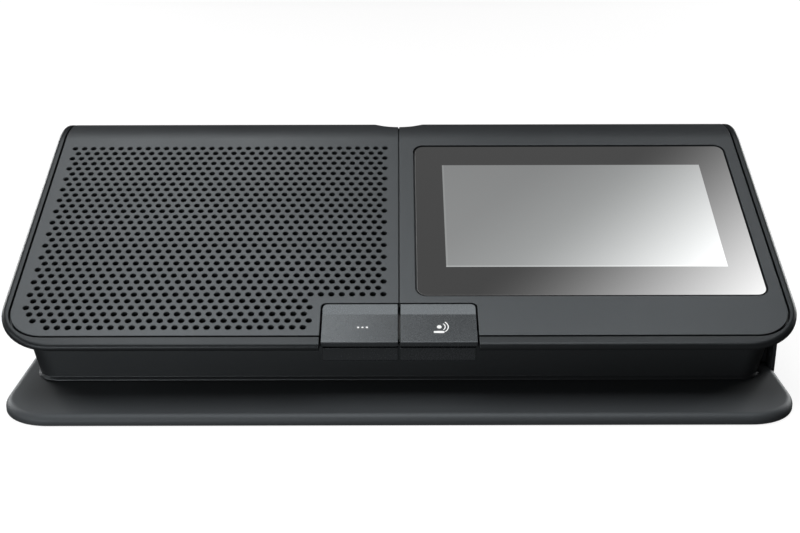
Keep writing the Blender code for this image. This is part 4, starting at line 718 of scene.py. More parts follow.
# %% Sizes of the cover plates and their groove
GROOVE = 0.0004
PLATE_GROOVE = 0.0006
SEAT = 0.0021
PLATE_CORNER = 0.0120
PLATE_REAR_CORNER = 0.0020
PLATE_TURN = SLOPE + radians(55)
KEY_NOTCH = 0.0254
KEY_NOTCH_REAR = 0.0143
KEY_NOTCH_CORNER = 0.0018
KEY_POCKET = 0.0048
plate_half = plate_high.x
cloth_low, cloth_high = sheet_box("acoustic_cloth")
panel_low, panel_high = sheet_box("lcd_panel")


def plate_slab(name, x, s, n, grow):
    """A slab with the plates' outline, grown on all sides, with its outer corners rounded."""
    turn = PLATE_TURN + grow / ROLL
    slab = rolled(name, x, s, n, turn)
    outer = max(abs(x[0]), abs(x[1])) - TINY
    round_edges(slab, lambda m, d: runs(d, OUT) and abs(m.x) > outer and m.y < 0,
                PLATE_CORNER + grow, segments=12)
    end = last_face(turn)
    through = Vector((0, -end.z, end.y))
    round_edges(slab, lambda m, d: runs(d, through) and abs(m.x) > outer and m.y > roll_y,
                PLATE_REAR_CORNER + grow, segments=5)
    return slab


def key_notch():
    """Cutter for the keys' place in the front edge, with its two inner corners rounded."""
    notch = block("key_notch", (-KEY_NOTCH, KEY_NOTCH), (-FAR, KEY_NOTCH_REAR), (-KEY_POCKET, PROUD))
    round_edges(notch, lambda m, d: runs(d, OUT) and off_sheet(m).y > 0, KEY_NOTCH_CORNER, segments=6)
    return notch


# %% Cut the seats
APRON_GAP_REAR = 0.0010
CLOTH_ROOM = 0.0003
CLOTH_OFF_NOTCH = 0.0022
CLOTH_CORNER = 0.0128
CLOTH_OVERLAP = 0.004


def cloth_blocks(name, n, grow):
    """The cloth's outline as two blocks, behind the keys' notch and beside it, grown on all sides."""
    left, right = cloth_low.x - grow, cloth_high.x + grow
    clear = CLOTH_OFF_NOTCH - grow
    behind = block(name, (left, right), (KEY_NOTCH_REAR + clear, cloth_high.y + grow), n)
    beside = block(name + "_wing", (left, -KEY_NOTCH - clear),
                   (cloth_low.y - grow, KEY_NOTCH_REAR + CLOTH_OVERLAP), n)
    round_edges(beside, lambda m, d: runs(d, OUT) and m.x < left + TINY and off_sheet(m).y < KEY_NOTCH_REAR,
                CLOTH_CORNER + grow, segments=8)
    return behind, beside


outer = plate_half + PLATE_GROOVE
cut(top, plate_slab("plate_seat", (-outer, outer), -PLATE_GROOVE, (-SEAT, PROUD), PLATE_GROOVE), key_notch())
cut(top, block("apron_gap", (-KEY_NOTCH, KEY_NOTCH), (-FAR, APRON_GAP_REAR), (-FAR, PROUD)))
cut(top, *cloth_blocks("cloth_pocket", (cloth_low.z - CLOTH_ROOM, PROUD), CLOTH_ROOM))
cut(top, block("panel_opening", (panel_low.x - GROOVE, panel_high.x + GROOVE),
               (panel_low.y - GROOVE, panel_high.y + GROOVE), (-FAR, PROUD)))
print("frame with seats", triangles(top), "triangles")

# %% [markdown]
# ## The microphone well
#
# A round well goes down through the ridge between the two plates, and its mouth is flared, so that the
# curved sheets run into it without a sharp lip. The flare could be a bevel on the cut edge, but that edge
# bends over the ridge. A cutter with the flare already on it gives an even rim: a cylinder, whose top face
# is pulled up in a few short steps, each a little wider than the last.

# %% Well cutter
WELL_RADIUS = 0.0096
WELL_PAST_RIDGE = 0.0105
WELL_DEPTH = 0.0243
FLARE = 0.0022
FLARE_HEIGHT = 0.0030
FLARE_STEPS = 6
WELL_SIDES = 64
well_y = roll_y + WELL_PAST_RIDGE
ridge_z = roll_z + ROLL


def well_cutter():
    """Cutter for the well, a cylinder whose upper end is flared."""
    cutter = peg("well_cutter", 0, well_y, (ridge_z - WELL_DEPTH - PROUD, ridge_z - FLARE_HEIGHT),
                 WELL_RADIUS, WELL_SIDES)
    edit(cutter)
    pick_faces(cutter, facing(UP))
    radius = WELL_RADIUS
    for step in range(1, FLARE_STEPS + 1):
        angle = pi / 2 * step / FLARE_STEPS
        wider = WELL_RADIUS + FLARE * (1 - cos(angle))
        rise = FLARE_HEIGHT * (sin(angle) - sin(angle - pi / 2 / FLARE_STEPS))
        pull((0, 0, rise))
        widen(wider / radius, (0, well_y, ridge_z))
        radius = wider
    pull((0, 0, PROUD))
    done()
    return cutter


cut(top, well_cutter())
ease(top, FRAME_EASE)
print("top frame", triangles(top), "triangles")

# %% [markdown]
# ## The cover plates
#
# Both plates are bent from 1.8 mm sheet and meet in a hairline seam down the middle. They are made alike:
# a slab spun over the ridge, its outer corners rounded, and the keys' notch and the well cut out of it.
# Only after that are its edges eased, because a cut leaves a new sharp edge.

# %% Two plates
SEAM = 0.0003
EASE_PLATE = 0.00022


def cover_plate(name, side):
    x = sorted((side * SEAM / 2, side * plate_half))
    plate = plate_slab(name, x, 0, (-PLATE, 0), 0)
    cut(plate, key_notch(), well_cutter())
    return plate


grille = cover_plate("grille_plate_drilled", -1)
bezel = cover_plate("bezel_plate_windowed", 1)

# %% The window for the display
GLASS_SPARE = 0.0006
GLASS_CORNER = 0.0032
glass_low, glass_high = sheet_box("touch_glass")
glass_high.x += GLASS_SPARE


def glass_block(name, grow, n):
    """A block with the glass's outline, grown on all sides."""
    pane = block(name, (glass_low.x - grow, glass_high.x + grow),
                 (glass_low.y - grow, glass_high.y + grow), n)
    round_edges(pane, lambda m, d: runs(d, OUT), GLASS_CORNER + grow, segments=8)
    return pane


cut(bezel, glass_block("window", PLATE_GROOVE, (-PLATE - PROUD, PROUD)))
ease(bezel, EASE_PLATE)
ease(grille, EASE_PLATE)
print("plates", triangles(grille), triangles(bezel), "triangles before drilling")

# %% [markdown]
# ## More than a thousand holes
#
# The drilled field has 32 rows, each shifted by half a hole from the one before. The holes could be a
# pattern in the material, but light would not sink into them and the sides of the plate would not show.
# One small drill with a countersink is repeated by Array modifiers, row by row, and all are cut at once.

# %% The drill
HOLE_RADIUS = 0.0010
HOLE_PITCH = 0.003411
ROW_PITCH = HOLE_PITCH * sin(pi / 3)
COUNTERSINK = 0.00014
HOLE_SIDES = 10
DRILL_PAST = 0.0005
FIRST_HOLE = -0.12115
FIRST_ROW = 0.0951


def drill(name, x, s):
    """A drill on the sheet, wider at its top so that it leaves a countersunk edge."""
    tool = stud(name, x, s, (-PLATE - DRILL_PAST, -COUNTERSINK), HOLE_RADIUS, HOLE_SIDES)
    edit(tool)
    pick_faces(tool, facing(OUT))
    pull(OUT * (COUNTERSINK * 2))
    wider = (HOLE_RADIUS + COUNTERSINK * 2) / HOLE_RADIUS
    bpy.ops.transform.resize(value=(wider, wider, wider), center_override=on_sheet(x, s, COUNTERSINK))
    done()
    return tool


def drill_rows(name, x, s, count, rows):
    """Drills in equal rows, two row pitches apart."""
    tool = drill(name, x, s)
    repeat(tool, count, (HOLE_PITCH, 0, 0))
    if rows > 1:
        repeat(tool, rows, ALONG * (-2 * ROW_PITCH))
    return tool


# %% Drill the plate
FULL_ROWS = 27
FULL_COUNT = 35
# Each short row by its number: how many places it leaves free at the corner, and how many holes it has.
SHORT_ROWS = {27: (0, 27), 28: (0, 28), 29: (0, 27), 30: (1, 27), 31: (2, 25)}
DRILL_POINTS = 3 * HOLE_SIDES
HOLE_SHARP = radians(30)

drills = [drill_rows("even_rows", FIRST_HOLE, FIRST_ROW, FULL_COUNT, (FULL_ROWS + 1) // 2),
          drill_rows("odd_rows", FIRST_HOLE + HOLE_PITCH / 2, FIRST_ROW - ROW_PITCH, FULL_COUNT - 1,
                     FULL_ROWS // 2)]
for row, (skipped, count) in SHORT_ROWS.items():
    start = FIRST_HOLE + (skipped + row % 2 / 2) * HOLE_PITCH
    drills.append(drill_rows("short_row", start, FIRST_ROW - row * ROW_PITCH, count, 1))
all_drills = join_all("drills", drills)
holes = len(all_drills.data.vertices) // DRILL_POINTS
cut(grille, all_drills)
smooth(grille, HOLE_SHARP)
print(holes, "holes,", triangles(grille), "triangles")

# %% [markdown]
# ## Graphite plastic
#
# Everything that shows is the same dark graphite, but no two parts of it look alike: the plates have a fine
# sparkle from the texture in their mould, and the frame is a little smoother. The body below is made nearly
# black as painted shade, for the shade under the overhang, and the base lighter as painted light, where the
# lamp above falls on it. One recipe with a few numbers covers them all. A grain a few tenths of a millimetre
# across raises the surface and shifts its tone, and a slow drift over centimetres keeps large faces from
# looking printed.

# %% Plastic
GRAIN = 0.00035
DRIFT = 0.035
COOL_TINT = (0.87, 0.95, 1.0, 1.0)
COOL = 0.08
GRAIN_ROUGHNESS = 0.16
DRIFT_ROUGHNESS = 0.08


def plastic(name, level, roughness, tone=0.10, depth=0.00002, gloss=0.5):
    """A moulded plastic of one grey level, whose tone wavers by a share and whose grain has a depth."""
    finish = Finish(name, Specular_IOR_Level=gloss, Specular_Tint=COOL_TINT)
    place = finish.place()
    grain = finish.noise(place, GRAIN, detail=3.0)
    drift = finish.noise(place, DRIFT)
    shade = 1 + (grain - 0.5) * tone * 2 + (drift - 0.5) * tone
    low, high = grey(level * 0.5, -COOL), grey(level * 1.5, -COOL)
    finish.colour(finish.mix(shade - 0.5, low, high))
    finish.roughness(roughness + (grain - 0.5) * GRAIN_ROUGHNESS + (drift - 0.5) * DRIFT_ROUGHNESS)
    finish.bump(grain, depth)
    return finish


plate_plastic = plastic("graphite_plate", 0.018, 0.42, tone=0.16, depth=0.00003)
frame_plastic = plastic("graphite_frame", 0.009, 0.38, gloss=0.28)
# Painted shade: the shell is set darker than the plates for the shade under the overhang.
shell_plastic = plastic("graphite_shell_painted_shade", 0.012, 0.42)
# Painted light: the base is set lighter than the plates where the lamp above falls on it.
base_plastic = plastic("graphite_base_painted_light", 0.034, 0.58)
key_plastic = plastic("graphite_key", 0.016, 0.26, tone=0.06, gloss=0.55)
pod_plastic = plastic("graphite_pod", 0.020, 0.42)
place_on(top, frame_plastic, "unit", "frame_plastic", "top_frame")
place_on(grille, plate_plastic, "unit", "grille_plate", "grille_plate")
place_on(bezel, plate_plastic, "unit", "bezel_plate", "bezel_plate")

# %% [markdown]
# ## Glass and display
#
# The display and its cover glass are bonded into one pane. From outside it is a black printed border and,
# within it, a lit grey panel. The pane could be clear glass over a glowing sheet, but the two surfaces
# would both mirror the lamps, which a bonded pane does not do. So it is one solid whose finish changes at
# the print's edge: black with no glow outside, a soft grey glow with a fine pixel grid inside. Towards the
# front and the right that glow rises: a painted reflection of the card, added to the real one in the glass.

# %% Pane
EDGE_EASE = 0.00006
LIT_FROM_LEFT = 0.0099
LIT_FROM_RIGHT = 0.0105
LIT_FROM_FRONT = 0.0134
LIT_FROM_REAR = 0.0109

pane = glass_block("touch_glass_pane", 0, (glass_low.z, glass_high.z))
ease(pane, EDGE_EASE)
lit_left, lit_right = glass_low.x + LIT_FROM_LEFT, glass_high.x - LIT_FROM_RIGHT
lit_front, lit_rear = glass_low.y + LIT_FROM_FRONT, glass_high.y - LIT_FROM_REAR

# %% Glass finish
INK = 0.002
LIT = 0.18
# The next six numbers paint a reflection into the display's glow: brighter towards the front and the right.
PAINTED_FRONT_REFLECTION = 0.04
PAINTED_REFLECTION = 0.33
PAINTED_REFLECTION_BEND = 1.5
PAINTED_REFLECTION_START = 0.355
PAINTED_REFLECTION_LEAN = 0.5
PAINTED_REFLECTION_MOST = 2.0
PIXELS_ACROSS = 480
PIXEL_WIDTH = 0.86
PIXEL_GAP_GLOW = 0.86
LEAK_WIDTH = 0.0006
FRONT_LEAK = 0.8
LEFT_LEAK = 0.2
GLASS_IOR = 2.0
GLASS_ROUGHNESS = 0.02
SMUDGE_SIZE = 0.012
SMUDGE_MEAN = 0.45
SMUDGE_ROUGHNESS = 0.05
pixel = (lit_right - lit_left) / PIXELS_ACROSS


def along_sheet(finish, place):
    """The s of a point of the surface, as a wire."""
    _, y, z = finish.axes(place)
    return (y - sheet_front.y) * cos(SLOPE) + (z - sheet_front.z) * sin(SLOPE)


glass = Finish("bonded_glass", IOR=GLASS_IOR)
place = glass.place()
x = glass.axes(place)[0]
s = along_sheet(glass, place)
inside = (x > lit_left) * (x < lit_right) * (s > lit_front) * (s < lit_rear)
grid_x = ((x - lit_left) % pixel) < pixel * PIXEL_WIDTH
grid_s = ((s - lit_front) % pixel) < pixel * PIXEL_WIDTH
grid = PIXEL_GAP_GLOW + (1 - PIXEL_GAP_GLOW) * grid_x * grid_s
leak = (s < lit_front + LEAK_WIDTH) * FRONT_LEAK + (x < lit_left + LEAK_WIDTH) * LEFT_LEAK
tone = (lit_rear - s) / (lit_rear - lit_front)
across = (x - lit_left) / (lit_right - lit_left)
# Painted reflection: the glow rises towards the right and the front, as the card's sweep does.
reflection_rise = across + tone * PAINTED_REFLECTION_LEAN - PAINTED_REFLECTION_START
painted_reflection = glass.node("ShaderNodeClamp", None, {"Value": reflection_rise, "Max": PAINTED_REFLECTION_MOST})
lit = inside * ((LIT + tone * PAINTED_FRONT_REFLECTION + painted_reflection ** PAINTED_REFLECTION_BEND * PAINTED_REFLECTION) * grid + leak * LIT)
glass.colour(grey(INK))
glass.feed(glass.shader.inputs["Emission Color"], glass.mix(lit, (0, 0, 0, 1), (0.97, 1.0, 1.0, 1)))
glass.shader.inputs["Emission Strength"].default_value = 1.0
smudge = glass.noise(place, SMUDGE_SIZE, detail=4.0)
glass.roughness(GLASS_ROUGHNESS + (smudge - SMUDGE_MEAN) * SMUDGE_ROUGHNESS)
place_on(pane, glass, "unit", "touch_glass", "touch_glass")

# %% [markdown]
# ## Cloth behind the holes
#
# A thin black acoustic cloth lies behind the drilled plate. Only specks of it show, so it is a flat sheet
# with a woven finish: threads over and under, made of two sine waves across each other.

# %% Cloth
CLOTH_THREAD = 0.0004

cloth, wing = cloth_blocks("acoustic_cloth_sheet", (cloth_low.z, cloth_high.z), 0)
cut(cloth, wing, operation="UNION")
woven = Finish("acoustic_weave", Roughness=0.9)
place = woven.place()
x = woven.axes(place)[0]
s = along_sheet(woven, place)
weave = x.wave(CLOTH_THREAD) * s.wave(CLOTH_THREAD) * 0.5 + 0.5
woven.colour(woven.mix(weave, grey(0.004), grey(0.016)))
woven.bump(weave, 0.0001)
place_on(cloth, woven, "unit", "acoustic_cloth", "acoustic_cloth")

# %% [markdown]
# ## The two keys
#
# Each key lies a little below the plates. A facet along its back climbs towards them and catches the light,
# and a lip drops over the front edge. Below the lip a narrow groove parts it from an apron, which is set
# back. A side outline could be drawn and extruded across. Here the cap is a block whose top is bisected and
# tipped, and the apron is a second block that hangs straight down. The crease between face and facet is too
# shallow for the last easing to find, so it is rounded by itself.

# %% Key sizes
FACET = 0.0042
KEY_SINK = 0.0008
FACET_SINK = 0.0001
KEY_FRONT = 0.0024
KEY_WALL = 0.0008
LIP = 0.00155
LIP_GROOVE = 0.0008
LIP_OVERHANG = 0.0012
APRON = 0.0053
APRON_WALL = 0.0017
APRON_INSET = 0.0005
KEY_SKIRT = 0.0026
KEY_ROUND = 0.00030
CREASE = 0.00015
LIP_DEPTH = 0.0032
NECK_FOOT = 0.001
NECK_IN_LIP = 0.0006
key_rear = sheet_box("key_right")[1].y
lip_place = on_sheet(0, -KEY_FRONT, -KEY_SINK)


def key_width(side, inset=0.0):
    """Lowest and highest x of a key, from the seam to just inside the notch."""
    return sorted((side * SEAM, side * (KEY_NOTCH - GROOVE - inset)))


def key_cap(name, side):
    """The cap: facet, face and lip."""
    x = key_width(side)

    def at(place, s):
        return abs(off_sheet(place).y - s) < TINY

    def on_top(place):
        return off_sheet(place).z > -KEY_SINK - TINY

    cap = block(name, x, (-KEY_FRONT - PROUD, key_rear), (-KEY_SKIRT, -KEY_SINK))
    edit(cap)
    bpy.ops.mesh.select_all(action="SELECT")
    bpy.ops.mesh.bisect(plane_co=on_sheet(0, key_rear - FACET), plane_no=ALONG)
    pick_edges(cap, lambda m, d: runs(d, ACROSS) and at(m, key_rear) and on_top(m))
    bpy.ops.transform.translate(value=OUT * (KEY_SINK - FACET_SINK))
    done()
    round_edges(cap, lambda m, d: runs(d, OUT) and abs(m.x) > KEY_NOTCH - GROOVE - TINY and at(m, key_rear),
                KEY_NOTCH_CORNER, segments=6)
    round_edges(cap, lambda m, d: runs(d, ACROSS) and at(m, key_rear - FACET) and on_top(m),
                CREASE, segments=2)
    wide = (x[0] - PROUD, x[1] + PROUD)
    front = upright("front_trim", wide, (lip_place.y - FAR, lip_place.y), (0, 4 * FAR))
    below = upright("lip_trim", wide, (lip_place.y - FAR, lip_place.y + LIP_DEPTH), (0, lip_place.z - LIP))
    cut(cap, front, below)
    return cap


def key_apron(side):
    """The apron below the lip, with a neck that joins it to the cap."""
    y0 = lip_place.y + LIP_OVERHANG
    lip_end = lip_place.z - LIP
    low = lip_end - APRON
    x = key_width(side, APRON_INSET)
    apron = upright("apron", x, (y0, y0 + APRON_WALL), (low, lip_end - LIP_GROOVE))
    neck = upright("neck", x, (y0 + LIP_GROOVE, y0 + APRON_WALL), (low + NECK_FOOT, lip_end + NECK_IN_LIP))
    cut(apron, neck, operation="UNION")
    return apron


# %% Two keys
KEY_STEM = 0.0009
STEM_SIDES = 20
STEM_END = -0.0025


def key_stem(side):
    """The short stem under the face, which presses the switch."""
    x, s = side * KEY_NOTCH / 2, (KEY_NOTCH_REAR - KEY_FRONT) / 2
    return stud("stem", x, s, (STEM_END, -KEY_SINK - KEY_WALL / 2), KEY_STEM, STEM_SIDES)


def build_key(name, side):
    """Cap and apron in one, hollow from below, with the stem inside."""
    cap = key_cap(name, side)
    x = key_width(side)
    inner_y = lip_place.y + LIP_OVERHANG + APRON_WALL
    front = off_sheet(Vector((0, inner_y, lip_place.z))).y
    hollow = block("hollow", (x[0] + KEY_WALL, x[1] - KEY_WALL), (front, key_rear - KEY_WALL),
                   (-FAR, -KEY_SINK - KEY_WALL))
    cut(cap, key_apron(side), operation="UNION")
    cut(cap, hollow)
    cut(cap, key_stem(side), operation="UNION")
    ease(cap, KEY_ROUND, segments=3)
    return cap


for side, hand in ((-1, "left"), (1, "right")):
    cap = build_key("key_%s_cap" % hand, side)
    place_on(cap, key_plastic, hand + "_key", "key_%s_plastic" % hand, "key_" + hand)

# %% [markdown]
# ## Marks on the keys
#
# The left key has three dots and the right one a small talk sign: a head, a shoulder bar and two arcs of
# sound. On the real keys they are printed in white. They could be a pattern in the material, but a sign made
# of real, very thin pieces keeps its sharp edge at any size. Each is a disc, a rounded bar or a piece of
# ring, a few hundredths of a millimetre thick, and all of one key are joined.

# %% Shapes of the marks
PRINT = 0.00004
RING_SIDES = 48
RING_CUT = 0.0012
print_n = (-KEY_SINK, PRINT - KEY_SINK)


def disc(x, s, radius, sides=24):
    return stud("disc", x, s, print_n, radius, sides)


def bar(x, s, radius):
    """A flat bar between two limits of x and s with rounded corners."""
    piece = block("bar", x, s, print_n)
    round_edges(piece, lambda m, d: runs(d, OUT), radius, segments=5)
    return piece


def arc(x, s, radius, width, half_angle):
    """A piece of a flat ring that opens to the left, like a wave of sound."""
    ring = disc(x, s, radius + width / 2, RING_SIDES)
    cut(ring, stud("hole", x, s, (-KEY_SINK - RING_CUT, RING_CUT - KEY_SINK), radius - width / 2, RING_SIDES))
    edit(ring)
    for side in (-1, 1):
        bpy.ops.mesh.select_all(action="SELECT")
        away = ACROSS * -sin(half_angle) + ALONG * (side * cos(half_angle))
        bpy.ops.mesh.bisect(plane_co=on_sheet(x, s), plane_no=away, clear_outer=True, use_fill=True)
    done()
    return ring


# %% Print them
DOT_RADIUS = 0.00036
DOT_PITCH = 0.0014
DOTS_X, DOTS_S = -0.01174, 0.0041
HEAD_RADIUS = 0.00076
HEAD_X, HEAD_S = 0.01283, 0.00425
SHOULDERS_X, SHOULDERS_S = (0.0110, 0.0145), (0.0016, 0.0025)
SHOULDER_ROUND = 0.00042
SOUND_X, SOUND_S = 0.0131, 0.0043
SOUND_WIDTH = 0.00034
SOUND_ARCS = ((0.00165, radians(50)), (0.00262, radians(52)))
MARK_WHITE = 0.80

white_print = Finish("white_print", Roughness=0.5)
speckle = white_print.noise(white_print.place(), 0.0002)
white_print.colour(white_print.mix(speckle, grey(MARK_WHITE * 0.92), grey(MARK_WHITE)))

dots = [disc(DOTS_X + place * DOT_PITCH, DOTS_S, DOT_RADIUS) for place in (-1, 0, 1)]
talk = [disc(HEAD_X, HEAD_S, HEAD_RADIUS), bar(SHOULDERS_X, SHOULDERS_S, SHOULDER_ROUND)]
talk += [arc(SOUND_X, SOUND_S, radius, SOUND_WIDTH, half_angle) for radius, half_angle in SOUND_ARCS]
place_on(join_all("key_left_mark", dots), white_print, "left_key", "key_left_plastic")
place_on(join_all("key_right_mark", talk), white_print, "right_key", "key_right_plastic")

# %% [markdown]
# ## The body and other mouldings
#
# The body shell, the side pod and the buttons have the right shape in the CAD already: every opening and
# post is there. They could be modelled again, but nothing would be gained. What they lack is what moulding
# gives every edge, a small round that catches the light. So a merged copy of each is eased all over. Two
# are drawn in as well: the shell's walls lean in towards the base, and the side panel reaches down over
# the base's rounded rim.

# %% Eased copies
WELD = 0.000002
COPLANAR = radians(0.5)


def eased_copy(node, name, width, reshape=None, segments=2):
    """A merged copy of a CAD node, with flat areas made whole, reshaped if need be, and its edges rounded."""
    piece = bpy.data.objects.new(name, nodes[node].data.copy())
    bpy.context.collection.objects.link(piece)
    edit(piece)
    bpy.ops.mesh.select_all(action="SELECT")
    bpy.ops.mesh.remove_doubles(threshold=WELD)
    bpy.ops.mesh.dissolve_limited(angle_limit=COPLANAR)
    if reshape:
        reshape(piece)
    done()
    ease(piece, width, segments)
    return piece


# %% The shell leans in and the panel reaches down
WALL_INSET = 0.0045
SHELL_WALL = 0.0022
SHELL_FRONT_CORNER = 0.0080
FLANGE = 0.0008
FLANGE_HEIGHT = 0.0006
THIN_FLANGE_DROP = 0.00015
FLANGE_LEAN = 0.9976
LEAN_FROM = 0.0140
LEAN = 0.0019
PANEL_REACH = 0.0017
shell_low, shell_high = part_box("body_shell")
panel_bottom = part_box("side_panel")[0].z
shell_half = frame_high.x - WALL_INSET


def in_outer_skin(place):
    """True for a point of the wall's outer side, false for one of its inner side or of what is inside."""
    radius = SHELL_FRONT_CORNER
    over_x = max(abs(place.x) - (shell_half - radius), 0)
    over_y = max(shell_low.y + FLANGE + radius - place.y, place.y - (shell_high.y - FLANGE - radius), 0)
    return hypot(over_x, over_y) > radius - SHELL_WALL / 2


def lean_shell(piece):
    """Thin the flange to a line that leans back, and lean the walls in towards their foot."""
    bpy.ops.mesh.select_all(action="SELECT")
    bpy.ops.mesh.bisect(plane_co=(0, 0, LEAN_FROM), plane_no=UP)
    for level, drop in ((FLANGE_HEIGHT, 1), (FLANGE_HEIGHT + FLANGE, 2)):
        z = shell_low.z + level
        pick_points(piece, lambda place: abs(place.z - z) < TINY and in_outer_skin(place))
        bpy.ops.transform.translate(value=(0, 0, -THIN_FLANGE_DROP * drop))
    rim_z = shell_low.z + FLANGE_HEIGHT - THIN_FLANGE_DROP
    pick_points(piece, lambda place: abs(place.z - rim_z) < TINY and in_outer_skin(place))
    widen(FLANGE_LEAN)
    below = shell_low.z + FLANGE_HEIGHT + FLANGE
    pick_points(piece, lambda place: place.z < below and in_outer_skin(place))
    share = 1 - LEAN / shell_half
    bpy.ops.transform.resize(value=(share, 1, 1), center_override=(0, 0, 0))


def reach_down(piece):
    """Move the panel's lower edge down over the base's rounded rim."""
    pick_points(piece, lambda place: place.z < panel_bottom + TINY)
    bpy.ops.transform.translate(value=(0, 0, -PANEL_REACH))


button_plastic = plastic("graphite_button", 0.030, 0.45)
# Each node's finish, body and slot, the width of its rounds, and what reshapes it.
EASED = {
    "body_shell": (shell_plastic, "unit", "shell_plastic", 0.00012, lean_shell),
    "side_pod": (pod_plastic, "unit", "pod_plastic", 0.00020, None),
    "side_panel": (pod_plastic, "unit", "ribbed_panel", 0.00012, reach_down),
    "volume_up": (button_plastic, "volume_up_button", "button_plastic", 0.00025, None),
    "volume_down": (button_plastic, "volume_down_button", "button_plastic", 0.00025, None),
}
for node, (look, rides_on, slot, width, reshape) in EASED.items():
    piece = eased_copy(node, node + "_moulding", width, reshape)
    place_on(piece, look, rides_on, slot, node)

# %% [markdown]
# ## The base plate
#
# The base is a flat plate with generous corners on four rubber feet. Its upper edge is rounded almost down
# to the table, so that it looks thin, and a low rim round its underside hides the feet. It is a block from
# start to end: corners first, then the edge all round in one bevel, then the underside inset and pushed
# up, and at last the posts for the circuit board, the seats of the feet and the screw holes.

# %% Base plate
BASE_CORNER = 0.0172
BASE_REAR_CORNER = 0.0080
BASE_SOFT = 0.0024
BASE_SKIRT = 0.0005
BASE_RIM = 0.0020
BASE_THICK = 0.0030
BOARD_POST = 0.0030
REAR_POST_Y = 0.0466
POST_ROOT = 0.0003
BELOW = -0.001
FOOT_SEAT, FOOT_SEAT_TOP = 0.0073, 0.0018
HEAD_SEAT, HEAD_SEAT_TOP = 0.0031, 0.0025
SHANK_HOLE, SHANK_HOLE_TOP = 0.0019, 0.005
FEET = ["rubber_foot_%s_%s" % (end, hand) for end in ("front", "rear") for hand in ("left", "right")]
base_low, base_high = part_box("base_plate")
board_low, board_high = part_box("main_board")
base_top = base_low.z + BASE_THICK
skirt_z = base_low.z - BASE_SKIRT


def screw_names(group):
    return ["%s_screw_%d" % (group, number) for number in (1, 2, 3, 4)]


def node_middle(name):
    low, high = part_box(name)
    return (low + high) / 2


base = upright("base_plate_moulding", (base_low.x, base_high.x), (base_low.y, base_high.y),
               (skirt_z, base_top))
round_edges(base, lambda m, d: runs(d, UP) and m.y < 0, BASE_CORNER, segments=16)
round_edges(base, lambda m, d: runs(d, UP) and m.y > base_high.y - TINY and abs(m.x) > base_high.x - TINY,
            BASE_REAR_CORNER, segments=10)
round_edges(base, lambda m, d: m.z > base_top - TINY, BASE_SOFT, segments=8)
round_edges(base, lambda m, d: m.z < skirt_z + TINY, BASE_SKIRT / 2, segments=2)
edit(base)
pick_faces(base, facing(-UP))
bpy.ops.mesh.inset(thickness=BASE_RIM, depth=-BASE_SKIRT, use_even_offset=True)
done()
for x in (board_low.x + 2 * BOARD_POST, board_high.x - 2 * BOARD_POST):
    for y in (board_low.y + 2 * BOARD_POST, REAR_POST_Y):
        cut(base, peg("post", x, y, (base_top - POST_ROOT, base_high.z), BOARD_POST), operation="UNION")
for name in FEET:
    x, y, _ = node_middle(name)
    cut(base, peg("seat", x, y, (BELOW, FOOT_SEAT_TOP), FOOT_SEAT, sides=32))
for name in screw_names("base"):
    x, y, _ = node_middle(name)
    cut(base, peg("head_seat", x, y, (BELOW, HEAD_SEAT_TOP), HEAD_SEAT),
        peg("shank_hole", x, y, (0, SHANK_HOLE_TOP), SHANK_HOLE))
smooth(base)
place_on(base, base_plastic, "unit", "base_plastic", "base_plate")

# %% [markdown]
# ## Rubber feet
#
# Four round pads keep the unit from sliding. A real one is a moulded disc with a softened rim and a shallow
# dish, so that it grips with its outer ring. Only one is modelled: a cylinder whose underside is inset and
# pushed up, and whose rim is rounded. The four pads are copies of it, each with a mesh of its own.

# %% Feet
FOOT_RIM = 0.0016
FOOT_DISH = 0.0003
FOOT_ROUND = 0.0004


def moved_copy(piece, name, move):
    """A copy with its own mesh, moved in the mesh itself."""
    copy = bpy.data.objects.new(name, piece.data.copy())
    bpy.context.collection.objects.link(copy)
    only(copy)
    bpy.ops.transform.translate(value=move)
    return settle()


rubber = grained("black_rubber", grey(0.006), grey(0.020), 0.0004, 0.775, swing=0.25)
foot_low, foot_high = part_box(FEET[0])
first = node_middle(FEET[0])
foot = peg("foot_model", first.x, first.y, (foot_low.z, foot_high.z), (foot_high.x - foot_low.x) / 2,
           sides=40)
round_edges(foot, lambda m, d: m.z < TINY, FOOT_ROUND, segments=3)
edit(foot)
pick_faces(foot, facing(-UP))
bpy.ops.mesh.inset(thickness=FOOT_RIM)
bpy.ops.mesh.inset(thickness=FOOT_DISH, depth=-FOOT_DISH)
done()
smooth(foot)
for name in FEET:
    piece = moved_copy(foot, name.replace("rubber_foot", "foot_pad") + "_disc", node_middle(name) - first)
    place_on(piece, rubber, "unit", "rubber", name)
bpy.data.objects.remove(foot)

# %% [markdown]
# ## Screws
#
# Sixteen small pan-head screws hold the unit together, in four groups of four. They are turned from wire,
# their thread is rolled and their head has a cross recess. The thread could be a true spiral, but at this
# size it reads the same as a stack of ridges: the top of a cylinder is extruded in short steps, alternately
# wider and narrower. One screw is made for each group, and its copies are moved to their places.

# %% Screw
HEAD_HEIGHT = 0.0014
HEAD_ROUND = 0.00045
RIDGE = 0.00045
RIDGE_DEPTH = 0.86
TIP = 0.6
RECESS_WIDTH = 0.0004
RECESS_REACH = 0.55
RECESS_DEPTH = 0.45
# Radius of the shank and of the head in each group.
SHANKS = {"base": (0.0015, 0.0028), "frame": (0.0014, 0.0023), "bracket": (0.0010, 0.0019),
          "speaker": (0.0010, 0.0019)}


